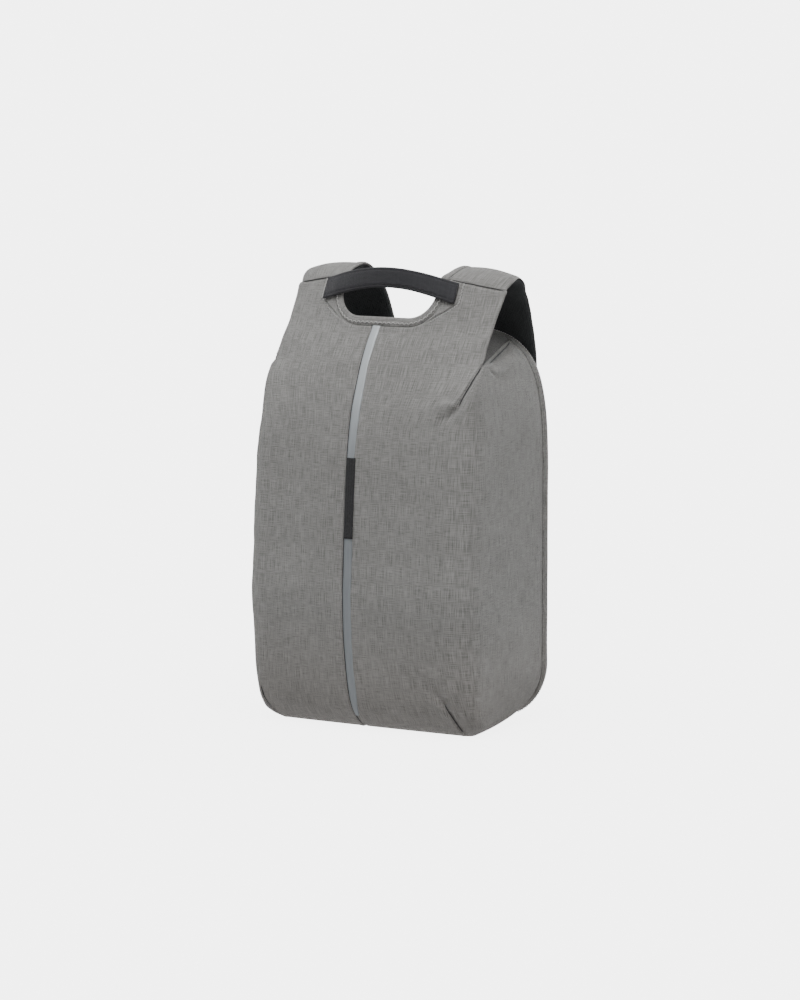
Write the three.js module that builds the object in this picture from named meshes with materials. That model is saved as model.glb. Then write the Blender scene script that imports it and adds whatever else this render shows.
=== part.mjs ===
// An anti-theft day backpack, standing on its base, in millimetres with +Z up.
// The front faces -Y, and the side that lies against the wearer's back faces +Y.
// The origin is the middle of the flat base. Cloth panels are thin walls with a small gap at each seam.
import * as THREE from "three";
import { mergeGeometries, mergeVertices } from "three/addons/utils/BufferGeometryUtils.js";

const { lerp } = THREE.MathUtils;

// Driving sizes of the pouch
const BODY_HEIGHT = 446; // base to the top of the back arch
const BODY_WIDTH = 294; // widest, at mid height
const BODY_DEPTH = 183; // back seam to the furthest bulge of the front
const BASE_DEPTH = 133; // back seam to the front edge of the flat base
const BACK_WIDTH = 287; // across the back seam
const BACK_CORNER = 66; // radius of the two bottom corners of the back outline
const ARCH_HEIGHT = 196; // the arched top part of the back outline
const ARCH_POWER = 4.1; // 2 is an ellipse, more is squarer
const SIDE_BULGE = 1.5; // how far the gusset swells between front and back
const SIDE_POWER = 2.7; // more keeps the gusset's width further back
const FOOT_POWER = 1.6; // the same at the base
const FOOT_HEIGHT = 100; // the height where the gusset has left its shape at the base
const RIDGE_HEIGHT = 434; // where the fold of the gusset reaches the arch
const TOP_CROWN = 1.2; // the rise of the top at its front, as a share of its rise at the arch

// Driving sizes of the front panel above the pouch, which the wearer's arms pass beside
const ARMHOLE_HEIGHT = 415; // where the front panel's free edge starts
const SHOULDER_HEIGHT = 507; // shoulder seam at its inner end
const SHOULDER_DROP = 11; // how much lower its outer end is
const NECK_DROP = 52.5; // shoulder seam down to the lowest point of the binding's seam round the hand hole
const NECK_HALF = 70.5; // half width of that seam
const NECK_CORNER = 38; // radius of that seam at its lower corners
const NECK_BINDING = 9; // width of the binding

// Cloth, seams and clearances
const SHELL_WALL = 3;
const TOP_WALL = 2.5;
const BINDING_RAISE = 0.8; // how far the binding stands above the cloth beside it
const BINDING_TUCK = 1.6; // and how far it reaches below that surface
const SEAM_GAP = 0.35;
const SEAM_OFFSET = -11; // the centre seam lies to the left of the middle
const TURN_UNDER = 12; // shell cloth turned under the base
const TOP_CLEARANCE = 1.5; // between the top and the front panel in front of it

// Strip and label beside the centre seam
const STRIP_WIDTH = 10.5;
const STRIP_WALL = 0.7;
const STRIP_TAPER = 0.75; // its width at either end, as a share of its full width
const LABEL_WIDTH = 11.5;
const LABEL_WALL = 1.1;
const LABEL_LOW = 220;
const LABEL_HIGH = 310;

// Grab handle
const HANDLE_SPAN = 171; // end to end
const HANDLE_WIDTH = 23;
const HANDLE_WALL = 5.5;
const HANDLE_END_DROP = 16; // shoulder seam down to the middle of the handle's ends
const HANDLE_RISE = 16.5; // how far its middle stands above its ends
const HANDLE_BOW = 8; // how far its middle stands forward of its ends
const HANDLE_SEAT = 0.05; // between its back face and the binding's face, before the bow adds its part
const HANDLE_TURN = 0.8; // how much of its lean it has lost at the middle

// Back panel, its rim and piping
const PIPING_RADIUS = 1.3;
const PIPING_SUNK = 0.5; // how far its middle lies inside the outline, as a share of its radius
const RIM_DEPTH = 11.5; // back seam to the rim's back face
const RIM_FACE = 15; // width of the rim's back face
const RIM_WALL = 2.2;
const BACK_BOARD = 5.5;
const BACK_PAD = 6; // padding that stands above the board

// Shoulder straps
const STRAP_COVER = 1.6;
const STRAP_PAD = 6;
const STRAP_BINDING = 7.5; // width of the binding along a strap
const WEBBING_WIDTH = 25;
const WEBBING_WALL = 1.6;
const ADJUSTER_WIDTH = 34;
const ADJUSTER_LENGTH = 27;
const ADJUSTER_WALL = 4;
const ADJUSTER_BAR = 4.2;
const LOOP_SEWN = 22; // length of the short loop that is sewn on the strap
const LOOP_TURNED = 13; // the loop's end, turned back up behind the adjuster
const ADJUSTER_DROP = 20; // end of the strap to the adjuster's top bar
const FREE_END = 45; // loose end of the webbing below the adjuster
const TAB_WIDTH = 36;
const TAB_LENGTH = 40;
const TAB_WALL = 2.4;
const TAB_BASE = 40; // height of the tab's lower end
const TAB_TUCK = 8; // how far above the tab's lower end the webbing stops

const NECK_HEIGHT = SHOULDER_HEIGHT - NECK_DROP;
const HANDLE_END_HEIGHT = SHOULDER_HEIGHT - HANDLE_END_DROP;
const BACK_Y = BASE_DEPTH / 2;
const HALF_WIDTH = BODY_WIDTH / 2;
const HALF_BACK = BACK_WIDTH / 2;

// Level sections of the pouch. rise is a share of the armhole height, corner_x of the half width,
// corner_y, middle_y and dart of the body depth, and round, the reach of the soft corner, of the half width.
// dart is how deep the sewn dart beside the corner dips.
const POUCH_SECTIONS = [
  { rise: 0.0, corner_x: 0.857, corner_y: 0.718, middle_y: 0.729, round: 0.06, dart: 0.006 },
  { rise: 0.012, corner_x: 0.918, corner_y: 0.762, middle_y: 0.784, round: 0.087, dart: 0.016 },
  { rise: 0.034, corner_x: 0.98, corner_y: 0.802, middle_y: 0.841, round: 0.104, dart: 0.022 },
  { rise: 0.067, corner_x: 0.988, corner_y: 0.856, middle_y: 0.896, round: 0.126, dart: 0.019 },
  { rise: 0.116, corner_x: 0.996, corner_y: 0.896, middle_y: 0.936, round: 0.158, dart: 0.009 },
  { rise: 0.181, corner_x: 0.999, corner_y: 0.928, middle_y: 0.965, round: 0.183, dart: 0 },
  { rise: 0.265, corner_x: 1.0, corner_y: 0.951, middle_y: 0.989, round: 0.204, dart: 0 },
  { rise: 0.361, corner_x: 1.0, corner_y: 0.967, middle_y: 1.0, round: 0.204, dart: 0 },
  { rise: 0.518, corner_x: 1.0, corner_y: 0.948, middle_y: 0.984, round: 0.204, dart: 0 },
  { rise: 0.651, corner_x: 0.997, corner_y: 0.923, middle_y: 0.964, round: 0.204, dart: 0 },
  { rise: 0.747, corner_x: 0.993, corner_y: 0.902, middle_y: 0.945, round: 0.2, dart: 0 },
  { rise: 0.819, corner_x: 0.985, corner_y: 0.88, middle_y: 0.921, round: 0.2, dart: 0 },
  { rise: 0.88, corner_x: 0.971, corner_y: 0.844, middle_y: 0.888, round: 0.14, dart: 0.012 },
  { rise: 0.928, corner_x: 0.958, corner_y: 0.798, middle_y: 0.847, round: 0.07, dart: 0.026 },
  { rise: 0.964, corner_x: 0.944, corner_y: 0.749, middle_y: 0.814, round: 0.03, dart: 0.018 },
  { rise: 1.0, corner_x: 0.929, corner_y: 0.678, middle_y: 0.779, round: 0.015, dart: 0 },
];

// The front panel from the armholes (rise 0) to the shoulder seam (rise 1).
// half is a share of the half width, edge and middle are shares of the body depth.
const BIB_SECTIONS = [
  { rise: 0.0, half: 0.929, edge: 0.678, middle: 0.779 },
  { rise: 0.22, half: 0.913, edge: 0.62, middle: 0.717 },
  { rise: 0.42, half: 0.91, edge: 0.544, middle: 0.648 },
  { rise: 0.55, half: 0.912, edge: 0.503, middle: 0.617 },
  { rise: 0.7, half: 0.92, edge: 0.452, middle: 0.588 },
  { rise: 0.86, half: 0.928, edge: 0.403, middle: 0.552 },
  { rise: 1.0, half: 0.929, edge: 0.352, middle: 0.512 },
];
const BIB_BOW_POWER = 2.5;

// Stations along a shoulder strap after its seam, over the top and down behind the back panel.
// in_ is the inner edge and out_ the outer edge: x is a share of the half width, back of the body depth
// measured from the back seam, and up of the shoulder height.
const STRAP_STATIONS = [
  { in_x: 0.435, in_back: -0.415, in_up: 1.013, out_x: 0.936, out_back: -0.339, out_up: 0.997 },
  { in_x: 0.439, in_back: -0.339, in_up: 1.020, out_x: 0.943, out_back: -0.268, out_up: 1.006 },
  { in_x: 0.440, in_back: -0.246, in_up: 1.023, out_x: 0.933, out_back: -0.186, out_up: 0.994 },
  { in_x: 0.441, in_back: -0.153, in_up: 1.011, out_x: 0.901, out_back: -0.115, out_up: 0.970 },
  { in_x: 0.442, in_back: -0.066, in_up: 0.986, out_x: 0.883, out_back: -0.049, out_up: 0.945 },
  { in_x: 0.442, in_back: 0.022, in_up: 0.949, out_x: 0.864, out_back: 0.022, out_up: 0.903 },
  { in_x: 0.442, in_back: 0.104, in_up: 0.892, out_x: 0.835, out_back: 0.107, out_up: 0.848 },
  { in_x: 0.432, in_back: 0.164, in_up: 0.832, out_x: 0.803, out_back: 0.172, out_up: 0.795 },
  { in_x: 0.415, in_back: 0.197, in_up: 0.753, out_x: 0.772, out_back: 0.208, out_up: 0.734 },
  { in_x: 0.395, in_back: 0.221, in_up: 0.655, out_x: 0.745, out_back: 0.230, out_up: 0.643 },
  { in_x: 0.388, in_back: 0.238, in_up: 0.552, out_x: 0.728, out_back: 0.246, out_up: 0.546 },
  { in_x: 0.401, in_back: 0.251, in_up: 0.450, out_x: 0.721, out_back: 0.257, out_up: 0.448 },
  { in_x: 0.449, in_back: 0.249, in_up: 0.359, out_x: 0.707, out_back: 0.249, out_up: 0.359 },
];
const STRAP_START = 2.5; // how far past the shoulder seam the strap's cloth starts
const STRAP_CROWN = 0.06; // how far a strap's middle stands up, as a share of its width

const materials = Object.fromEntries(
  Object.entries({
    grey_fabric: [0x7d7b77, 0.9],
    black_fabric: [0x2b2b2d, 0.85],
    black_mesh: [0x1b1c1d, 0.95],
    reflective: [0x8a9196, 0.45],
    label: [0x242526, 0.7],
    black_webbing: [0x222324, 0.85],
    black_plastic: [0x1c1d1e, 0.5],
  }).map(([name, [color, roughness]]) => [
    name,
    new THREE.MeshStandardMaterial({ name, color, roughness, metalness: 0 }),
  ]),
);

const at = (x, back, z) => new THREE.Vector3(x, BACK_Y + back, z);

// Reads one column of a table at a value of its key column, in straight lines between the rows.
function column(table, key, value, name) {
  const last = table.length - 1;
  const next = table.findIndex((row) => row[key] >= value);
  if (next === 0) return table[0][name];
  if (next < 0) return table[last][name];
  const [low, high] = [table[next - 1], table[next]];
  return lerp(low[name], high[name], (value - low[key]) / (high[key] - low[key]));
}

// Half width of the back outline at a height
function backHalf(z) {
  const archBase = BODY_HEIGHT - ARCH_HEIGHT;
  if (z < BACK_CORNER)
    return HALF_BACK - BACK_CORNER + Math.sqrt(BACK_CORNER ** 2 - (BACK_CORNER - z) ** 2);
  if (z <= archBase) return HALF_BACK;
  const rise = Math.min(1, (z - archBase) / ARCH_HEIGHT);
  return HALF_BACK * (1 - rise ** ARCH_POWER) ** (1 / ARCH_POWER);
}

// Rows of points as a skin of triangles. Rows run along one way and points along the other.
function grid(rows, flip = false) {
  const corners = [];
  const add = (...points) => points.forEach((p) => corners.push(p.x, p.y, p.z));
  for (let r = 0; r + 1 < rows.length; r++)
    for (let c = 0; c + 1 < rows[r].length; c++) {
      const [a, b, d, e] = [rows[r][c], rows[r][c + 1], rows[r + 1][c + 1], rows[r + 1][c]];
      for (const [p, q, s] of [[a, b, d], [a, d, e]]) {
        if (p.distanceTo(q) < 1e-6 || q.distanceTo(s) < 1e-6 || p.distanceTo(s) < 1e-6) continue;
        if (flip) add(p, s, q);
        else add(p, q, s);
      }
    }
  const skin = new THREE.BufferGeometry();
  skin.setAttribute("position", new THREE.Float32BufferAttribute(corners, 3));
  return skin;
}

// Turns skins into one closed wall, whose faces lie outward and inward of the skin by these distances.
function wall(skins, outward, inward) {
  const skin = mergeVertices(mergeGeometries(skins), 1e-3);
  skin.computeVertexNormals();
  const { position, normal } = skin.attributes;
  const count = position.count;
  const points = new Float32Array(count * 6);
  const [p, n] = [new THREE.Vector3(), new THREE.Vector3()];
  for (let i = 0; i < count; i++)
    [outward, -inward].forEach((distance, layer) => {
      p.fromBufferAttribute(position, i);
      n.fromBufferAttribute(normal, i);
      p.addScaledVector(n, distance).toArray(points, (i + layer * count) * 3);
    });
  const faces = [];
  const open = new Map();
  const index = skin.index.array;
  for (let i = 0; i < index.length; i += 3) {
    const [a, b, c] = index.slice(i, i + 3);
    faces.push(a, b, c, a + count, c + count, b + count);
    for (const [from, to] of [[a, b], [b, c], [c, a]])
      if (!open.delete(to + ":" + from)) open.set(from + ":" + to, [from, to]);
  }
  for (const [from, to] of open.values())
    faces.push(from, from + count, to, to, from + count, to + count);
  return closedGeometry(points, faces);
}

function closedGeometry(points, faces) {
  const geometry = new THREE.BufferGeometry();
  geometry.setAttribute("position", new THREE.Float32BufferAttribute(points, 3));
  geometry.setIndex(faces);
  return geometry;
}

// Joins closed rings of points, one after another, into a solid. A loop of rings needs no end faces.
function ringSolid(rings, loop = false) {
  const size = rings[0].length;
  const points = rings.flat().flatMap((p) => p.toArray());
  const faces = [];
  const joints = loop ? rings.length : rings.length - 1;
  for (let r = 0; r < joints; r++)
    for (let k = 0; k < size; k++) {
      const [a, b] = [r * size + k, r * size + ((k + 1) % size)];
      const next = ((r + 1) % rings.length) * size;
      faces.push(a, b, next + k, b, next + ((k + 1) % size), next + k);
    }
  if (!loop)
    for (const [ring, turned] of [[0, true], [rings.length - 1, false]]) {
      const middle = new THREE.Vector3();
      rings[ring].forEach((p) => middle.addScaledVector(p, 1 / size));
      points.push(...middle.toArray());
      const hub = points.length / 3 - 1;
      for (let k = 0; k < size; k++) {
        const [a, b] = [ring * size + k, ring * size + ((k + 1) % size)];
        faces.push(...(turned ? [hub, b, a] : [hub, a, b]));
      }
    }
  return closedGeometry(points, faces);
}

const FRONT_STEPS = 8;
const DART_HALF = 4; // half width of a dart's dip
const CORNER_STEPS = 4;
const SIDE_STEPS = 6;
const ARMHOLE_ROW = POUCH_SECTIONS.length - 1;

// Depth of the front from the back seam, at a distance from the middle
function bowed(x, half, edge, middle) {
  return edge + (middle - edge) * (1 - Math.min(1, Math.abs(x / half)) ** BIB_BOW_POWER);
}

// Distances from the middle of the columns of the front: seam, plain part, dart and corner
function frontColumns(seamX, cornerStart) {
  const plainEnd = cornerStart - 2 * DART_HALF;
  const plainSteps = FRONT_STEPS - 2;
  const plain = Array.from({ length: plainSteps + 1 }, (_, i) => lerp(seamX, plainEnd, i / plainSteps));
  return [...plain, plainEnd + DART_HALF, cornerStart];
}

// The centre seam's distance from the middle, counted towards this side
const seamFrom = (side) => side * SEAM_OFFSET + SEAM_GAP / 2;

// One level section of the pouch, from the centre seam round the front corner to the back seam.
// side is 1 for the right half and -1 for the left half.
function pouchRow(row, side, shrink = 1) {
  const z = row.rise * ARMHOLE_HEIGHT;
  const cornerX = row.corner_x * HALF_WIDTH;
  const cornerY = row.corner_y * BODY_DEPTH;
  const reach = row.round * HALF_WIDTH;
  const middle = row.middle_y * BODY_DEPTH;
  const backX = backHalf(z);
  const front = (x) => [x, bowed(x, cornerX, cornerY, middle)];
  const power = lerp(FOOT_POWER, SIDE_POWER, Math.min(1, z / FOOT_HEIGHT));
  const sideways = (t) => [
    lerp(cornerX, backX, t ** power) + SIDE_BULGE * Math.sin(Math.PI * t),
    cornerY * (1 - t),
  ];
  const [start, end] = [front(cornerX - reach), sideways(reach / cornerY)];
  const points = frontColumns(seamFrom(side), cornerX - reach).map(front);
  points[FRONT_STEPS - 1][1] -= row.dart * BODY_DEPTH;
  for (let i = 1; i < CORNER_STEPS; i++) {
    const t = i / CORNER_STEPS;
    const blend = (k) =>
      (1 - t) ** 2 * start[k] + 2 * t * (1 - t) * [cornerX, cornerY][k] + t * t * end[k];
    points.push([blend(0), blend(1)]);
  }
  for (let i = 0; i <= SIDE_STEPS; i++) points.push(sideways(lerp(reach / cornerY, 1, i / SIDE_STEPS)));
  return points.map(([x, depth]) => at(side * x * shrink, -depth * shrink, z));
}

const bibHeight = SHOULDER_HEIGHT - ARMHOLE_HEIGHT;
const armhole = POUCH_SECTIONS[ARMHOLE_ROW];
const armholeX = (armhole.corner_x - armhole.round) * HALF_WIDTH;

// A point on the front panel above the armholes
function bibPoint(x, z) {
  const read = (name) => column(BIB_SECTIONS, "rise", (z - ARMHOLE_HEIGHT) / bibHeight, name);
  const half = read("half") * HALF_WIDTH;
  return at(x, -bowed(x, half, read("edge") * BODY_DEPTH, read("middle") * BODY_DEPTH), z);
}

const bibEdge = (z) => column(BIB_SECTIONS, "rise", (z - ARMHOLE_HEIGHT) / bibHeight, "half") * HALF_WIDTH;

// A point on the front at any height
function frontPoint(x, z) {
  if (z > ARMHOLE_HEIGHT) return bibPoint(x, z);
  const read = (name) => column(POUCH_SECTIONS, "rise", z / ARMHOLE_HEIGHT, name);
  const half = read("corner_x") * HALF_WIDTH;
  return at(x, -bowed(x, half, read("corner_y") * BODY_DEPTH, read("middle_y") * BODY_DEPTH), z);
}

// The seam round the hand hole from its flat bottom to the shoulder, as [distance from the middle, height].
// inset moves the path into the hole.
const neckInner = NECK_HALF - NECK_CORNER;
const NECK_TURNS = 4;
function neckPath(inset = 0) {
  const radius = NECK_CORNER - inset;
  const arc = Array.from({ length: NECK_TURNS + 1 }, (_, i) => {
    const angle = (i / NECK_TURNS) * (Math.PI / 2);
    return [neckInner + radius * Math.sin(angle), NECK_HEIGHT + NECK_CORNER - radius * Math.cos(angle)];
  });
  const up = [0.5, 1].map((t) => {
    const z = lerp(NECK_HEIGHT + NECK_CORNER, seamHeight(NECK_HALF - inset), t);
    return [NECK_HALF - inset, z];
  });
  return [...arc, ...up];
}

// Height of the shoulder seam at a distance from the middle
function seamHeight(x) {
  return SHOULDER_HEIGHT - (SHOULDER_DROP * (x - NECK_HALF)) / (armholeX - NECK_HALF);
}

// The front panel above the armholes on one side: under the hand hole, and beside it up to the shoulder
function bibSkins(side) {
  const base = frontColumns(seamFrom(side), armholeX);
  const path = neckPath();
  const turn = NECK_TURNS / 2;
  const split = turn + 2;
  const under = [
    [base[0], NECK_HEIGHT],
    [(base[0] + neckInner) / 2, NECK_HEIGHT],
    ...path.slice(0, turn + 1),
  ];
  const middleRows = [0, 1, 2, 3].map((r) =>
    under.map(([x, z], i) => bibPoint(side * lerp(base[i], x, r / 3), lerp(ARMHOLE_HEIGHT, z, r / 3))),
  );
  const [turnX, turnZ] = path[turn];
  const inner = [
    ...[0, 1, 2].map((r) => [lerp(base[split], turnX, r / 3), lerp(ARMHOLE_HEIGHT, turnZ, r / 3)]),
    ...path.slice(turn),
  ];
  const outerShares = [0, 0.2, 0.4, 0.54, 0.66, 0.78, 0.89, 1];
  const shoulderRows = inner.map(([innerX, innerZ], r) => {
    const outerZ = lerp(ARMHOLE_HEIGHT, seamHeight(armholeX), outerShares[r]);
    const outerX = r === 0 ? armholeX : bibEdge(outerZ);
    return base.slice(split).map((x) => {
      const share = (x - base[split]) / (armholeX - base[split]);
      return bibPoint(side * lerp(innerX, outerX, share), lerp(innerZ, outerZ, share));
    });
  });
  return [grid(middleRows, side < 0), grid(shoulderRows, side < 0)];
}

// The ridge from the armhole back to the arch, where the gusset meets the top
function ridgeRow(side) {
  const lower = pouchRow(armhole, side).slice(FRONT_STEPS);
  const [startX, endX] = [side * lower[0].x, backHalf(RIDGE_HEIGHT)];
  return lower.map((p, i) => {
    const t = (p.y - lower[0].y) / (BACK_Y - lower[0].y);
    return new THREE.Vector3(side * lerp(startX, endX, t), p.y, lerp(ARMHOLE_HEIGHT, RIDGE_HEIGHT, t));
  });
}

// One half of the shell: front, side gusset, the turned-under margin and the front panel above the armhole
const turnedShare = 1 - TURN_UNDER / (POUCH_SECTIONS[0].corner_x * HALF_WIDTH);
function shellHalf(side) {
  const rows = POUCH_SECTIONS.map((row) => pouchRow(row, side));
  const armholeRow = rows[ARMHOLE_ROW].slice(FRONT_STEPS);
  const skins = [
    grid([pouchRow(POUCH_SECTIONS[0], side, turnedShare), ...rows], side < 0),
    grid([armholeRow, ridgeRow(side)], side < 0),
    ...bibSkins(side),
  ];
  return wall(skins, 0, SHELL_WALL);
}

// Height of the back arch at a distance from the middle
function archHeight(x) {
  const across = Math.abs(x) / HALF_BACK;
  return BODY_HEIGHT - ARCH_HEIGHT * (1 - (1 - across ** ARCH_POWER) ** (1 / ARCH_POWER));
}

// Closes the pouch between the front panel, the two ridges and the back arch
function topGusset() {
  const ridge = ridgeRow(1).slice(CORNER_STEPS);
  const endX = backHalf(RIDGE_HEIGHT);
  const steps = 10;
  const frontLimit = (x, z) => bibPoint(x, z + TOP_WALL + SEAM_GAP).y + SHELL_WALL + TOP_CLEARANCE;
  const rows = ridge.map((edge) => {
    const t = (edge.y - ridge[0].y) / (BACK_Y - ridge[0].y);
    return Array.from({ length: steps + 1 }, (_, i) => {
      const share = (2 * i) / steps - 1;
      const rise = (crown) => (archHeight(share * endX) - RIDGE_HEIGHT) * crown;
      const frontY = frontLimit(share * ridge[0].x, ARMHOLE_HEIGHT + rise(TOP_CROWN));
      const z = edge.z + rise(lerp(TOP_CROWN, 1, t));
      return new THREE.Vector3(share * edge.x, lerp(frontY, BACK_Y, t), z);
    });
  });
  return wall([grid(rows)], SEAM_GAP + TOP_WALL, -SEAM_GAP);
}

// The back outline as a closed loop of [x, z], moved inward by inset
function backOutline(inset = 0) {
  const half = [];
  for (let i = 0; i <= 6; i++) {
    const angle = (i / 6) * (Math.PI / 2);
    half.push([
      HALF_BACK - BACK_CORNER + BACK_CORNER * Math.sin(angle),
      BACK_CORNER - BACK_CORNER * Math.cos(angle),
    ]);
  }
  const archBase = BODY_HEIGHT - ARCH_HEIGHT;
  for (const t of [0.33, 0.67]) half.push([HALF_BACK, lerp(BACK_CORNER, archBase, t)]);
  for (let i = 0; i <= 11; i++) {
    const angle = (i / 11) * (Math.PI / 2);
    half.push([
      HALF_BACK * Math.cos(angle) ** (2 / ARCH_POWER),
      archBase + ARCH_HEIGHT * Math.sin(angle) ** (2 / ARCH_POWER),
    ]);
  }
  half[half.length - 1] = [0, BODY_HEIGHT];
  const loop = [...half, ...half.slice(0, -1).reverse().map(([x, z]) => [-x, z])];
  return loop.map(([x, z], i) => {
    const [before, after] = [loop.at(i - 1), loop[(i + 1) % loop.length]];
    const along = new THREE.Vector2(after[0] - before[0], after[1] - before[1]).normalize();
    return [x - along.y * inset, z + along.x * inset];
  });
}

// A closed loop round the back outline, whose section is a list of [inset, distance behind the back seam]
function backLoop(section) {
  const lines = section.map(([inset, back]) =>
    backOutline(inset).map(([x, z]) => at(x, back, Math.max(0, z))),
  );
  return ringSolid(lines[0].map((_, i) => lines.map((line) => line[i])), true);
}

const pipingBack = SEAM_GAP + PIPING_RADIUS;
const rimStart = pipingBack + PIPING_RADIUS + SEAM_GAP;

function piping() {
  const section = Array.from({ length: 6 }, (_, i) => {
    const angle = (i / 6) * 2 * Math.PI;
    return [PIPING_RADIUS * (PIPING_SUNK - Math.cos(angle)), pipingBack + PIPING_RADIUS * Math.sin(angle)];
  });
  return backLoop(section);
}

function rimBand() {
  return backLoop([
    [0, RIM_DEPTH],
    [RIM_FACE, RIM_DEPTH],
    [RIM_FACE, RIM_DEPTH - RIM_WALL],
    [RIM_WALL, RIM_DEPTH - RIM_WALL],
    [RIM_WALL, rimStart],
    [0, rimStart],
  ]);
}

const boardBack = RIM_DEPTH - RIM_WALL - SEAM_GAP;
const padBack = boardBack + BACK_PAD;
function backPanel() {
  const levels = [
    [RIM_WALL + SEAM_GAP, boardBack - BACK_BOARD],
    [RIM_WALL + SEAM_GAP, boardBack],
    [RIM_FACE + 1, boardBack],
    [RIM_FACE + 1, padBack - 2],
    [RIM_FACE + 5, padBack],
  ];
  const ring = ([inset, back]) => backOutline(inset).map(([x, z]) => at(x, back, z));
  return ringSolid(levels.map((level) => ring(level).reverse()));
}

// The flat bottom inside the turned-under margin
function basePanel() {
  const share = turnedShare - SEAM_GAP / (BASE_DEPTH / 2);
  const half = (side) => pouchRow(POUCH_SECTIONS[0], side, share);
  const outline = [...half(1), ...half(-1).reverse()];
  const rings = [0, SHELL_WALL].map((z) => outline.map((p) => new THREE.Vector3(p.x, p.y - SEAM_GAP, z)));
  return ringSolid(rings);
}

// Strip along the right edge of the centre seam, and the bare label sewn over it
const heights = [
  ...POUCH_SECTIONS.slice(2).map((row) => row.rise * ARMHOLE_HEIGHT),
  ...[1 / 3, 2 / 3, 0.93].map((t) => lerp(ARMHOLE_HEIGHT, NECK_HEIGHT, t)),
];
const stripLeft = SEAM_OFFSET + SEAM_GAP;

function bandOnFront(levels, left, right, taper = 1) {
  const rows = levels.map((z, i) => {
    const width = (right - left) * (i === 0 || i === levels.length - 1 ? taper : 1);
    return [frontPoint(left, z), frontPoint(left + width, z)];
  });
  return grid(rows);
}

function reflectiveStrip() {
  const band = bandOnFront(heights, stripLeft, stripLeft + STRIP_WIDTH, STRIP_TAPER);
  return wall([band], SEAM_GAP + STRIP_WALL, -SEAM_GAP);
}

function labelTab() {
  const levels = [LABEL_LOW, ...heights.filter((z) => z > LABEL_LOW && z < LABEL_HIGH), LABEL_HIGH];
  const lift = 2 * SEAM_GAP + STRIP_WALL;
  const band = bandOnFront(levels, stripLeft, stripLeft + LABEL_WIDTH);
  return wall([band], lift + LABEL_WALL, -lift);
}

// Edges of the strap on the right, station by station. The first is the shoulder seam.
const strapEdges = [
  { inner: seamPoint(NECK_HALF - NECK_BINDING), outer: seamPoint(armholeX) },
  ...STRAP_STATIONS.map((row) => ({
    inner: at(row.in_x * HALF_WIDTH, row.in_back * BODY_DEPTH, row.in_up * SHOULDER_HEIGHT),
    outer: at(row.out_x * HALF_WIDTH, row.out_back * BODY_DEPTH, row.out_up * SHOULDER_HEIGHT),
  })),
];

function seamPoint(x) {
  return bibPoint(x, seamHeight(x));
}

// A point on the upper face of the right strap. across is the distance from its inner edge.
function strapPoint(station, across) {
  const { inner, outer } = strapEdges[station];
  const width = inner.distanceTo(outer);
  const share = across / width;
  if (station === 0) return seamPoint(lerp(inner.x, outer.x, share));
  const [before, after] = [strapEdges[station - 1], strapEdges[Math.min(station + 1, strapEdges.length - 1)]];
  const along = after.inner.clone().add(after.outer).sub(before.inner).sub(before.outer);
  const up = outer.clone().sub(inner).cross(along).normalize();
  const crown = STRAP_CROWN * width * (1 - (2 * share - 1) ** 2);
  return inner.clone().lerp(outer, share).addScaledVector(up, crown);
}

const bindingAt = (station) => (station === 0 ? NECK_BINDING : STRAP_BINDING);
const strapWidth = (station) => strapEdges[station].inner.distanceTo(strapEdges[station].outer);

// Rows of points over a strap. range gives the distances of its two sides from the inner edge at a station.
function strapRows(side, steps, range, start = STRAP_START) {
  const rows = strapEdges.map((_, station) => {
    const [from, to] = range(station);
    return Array.from({ length: steps + 1 }, (_, i) => strapPoint(station, lerp(from, to, i / steps)));
  });
  rows[0] = rows[0].map((p, i) => p.clone().lerp(rows[1][i], start / p.distanceTo(rows[1][i])));
  return rows.map((row) => row.map((p) => new THREE.Vector3(side * p.x, p.y, p.z)));
}

function strapCover(side) {
  const rows = strapRows(side, 5, (station) => [bindingAt(station) + SEAM_GAP, strapWidth(station)]);
  return wall([grid(rows, side < 0)], 0, STRAP_COVER);
}

function strapPad(side) {
  const rows = strapRows(side, 6, (station) => [1, strapWidth(station) - 1], 2 * STRAP_START);
  const top = BINDING_TUCK + 2 * SEAM_GAP;
  return wall([grid(rows, side < 0)], -top, top + STRAP_PAD);
}

// The binding runs from the end of one strap along its inner edge, round the hand hole and along the other.
function neckBinding() {
  const seam = neckPath(2 * SEAM_GAP);
  const edge = neckPath(NECK_BINDING);
  const halfRows = (side) => [
    ...seam.map(([x, z], i) =>
      [0, 0.5, 1].map((t) => bibPoint(side * lerp(edge[i][0], x, t), lerp(edge[i][1], z, t))),
    ),
    ...strapRows(side, 2, (station) => [0, bindingAt(station)]),
  ];
  const right = halfRows(1);
  const left = halfRows(-1).reverse();
  return wall([grid([...left, ...right])], BINDING_RAISE, BINDING_TUCK);
}

// Cross-section of the handle, as shares of its width and its thickness
const HANDLE_SECTION = [
  [-0.5, -0.3],
  [-0.5, 0.3],
  [-0.36, 0.5],
  [0.36, 0.5],
  [0.5, 0.3],
  [0.5, -0.3],
  [0.36, -0.5],
  [-0.36, -0.5],
];

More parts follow.
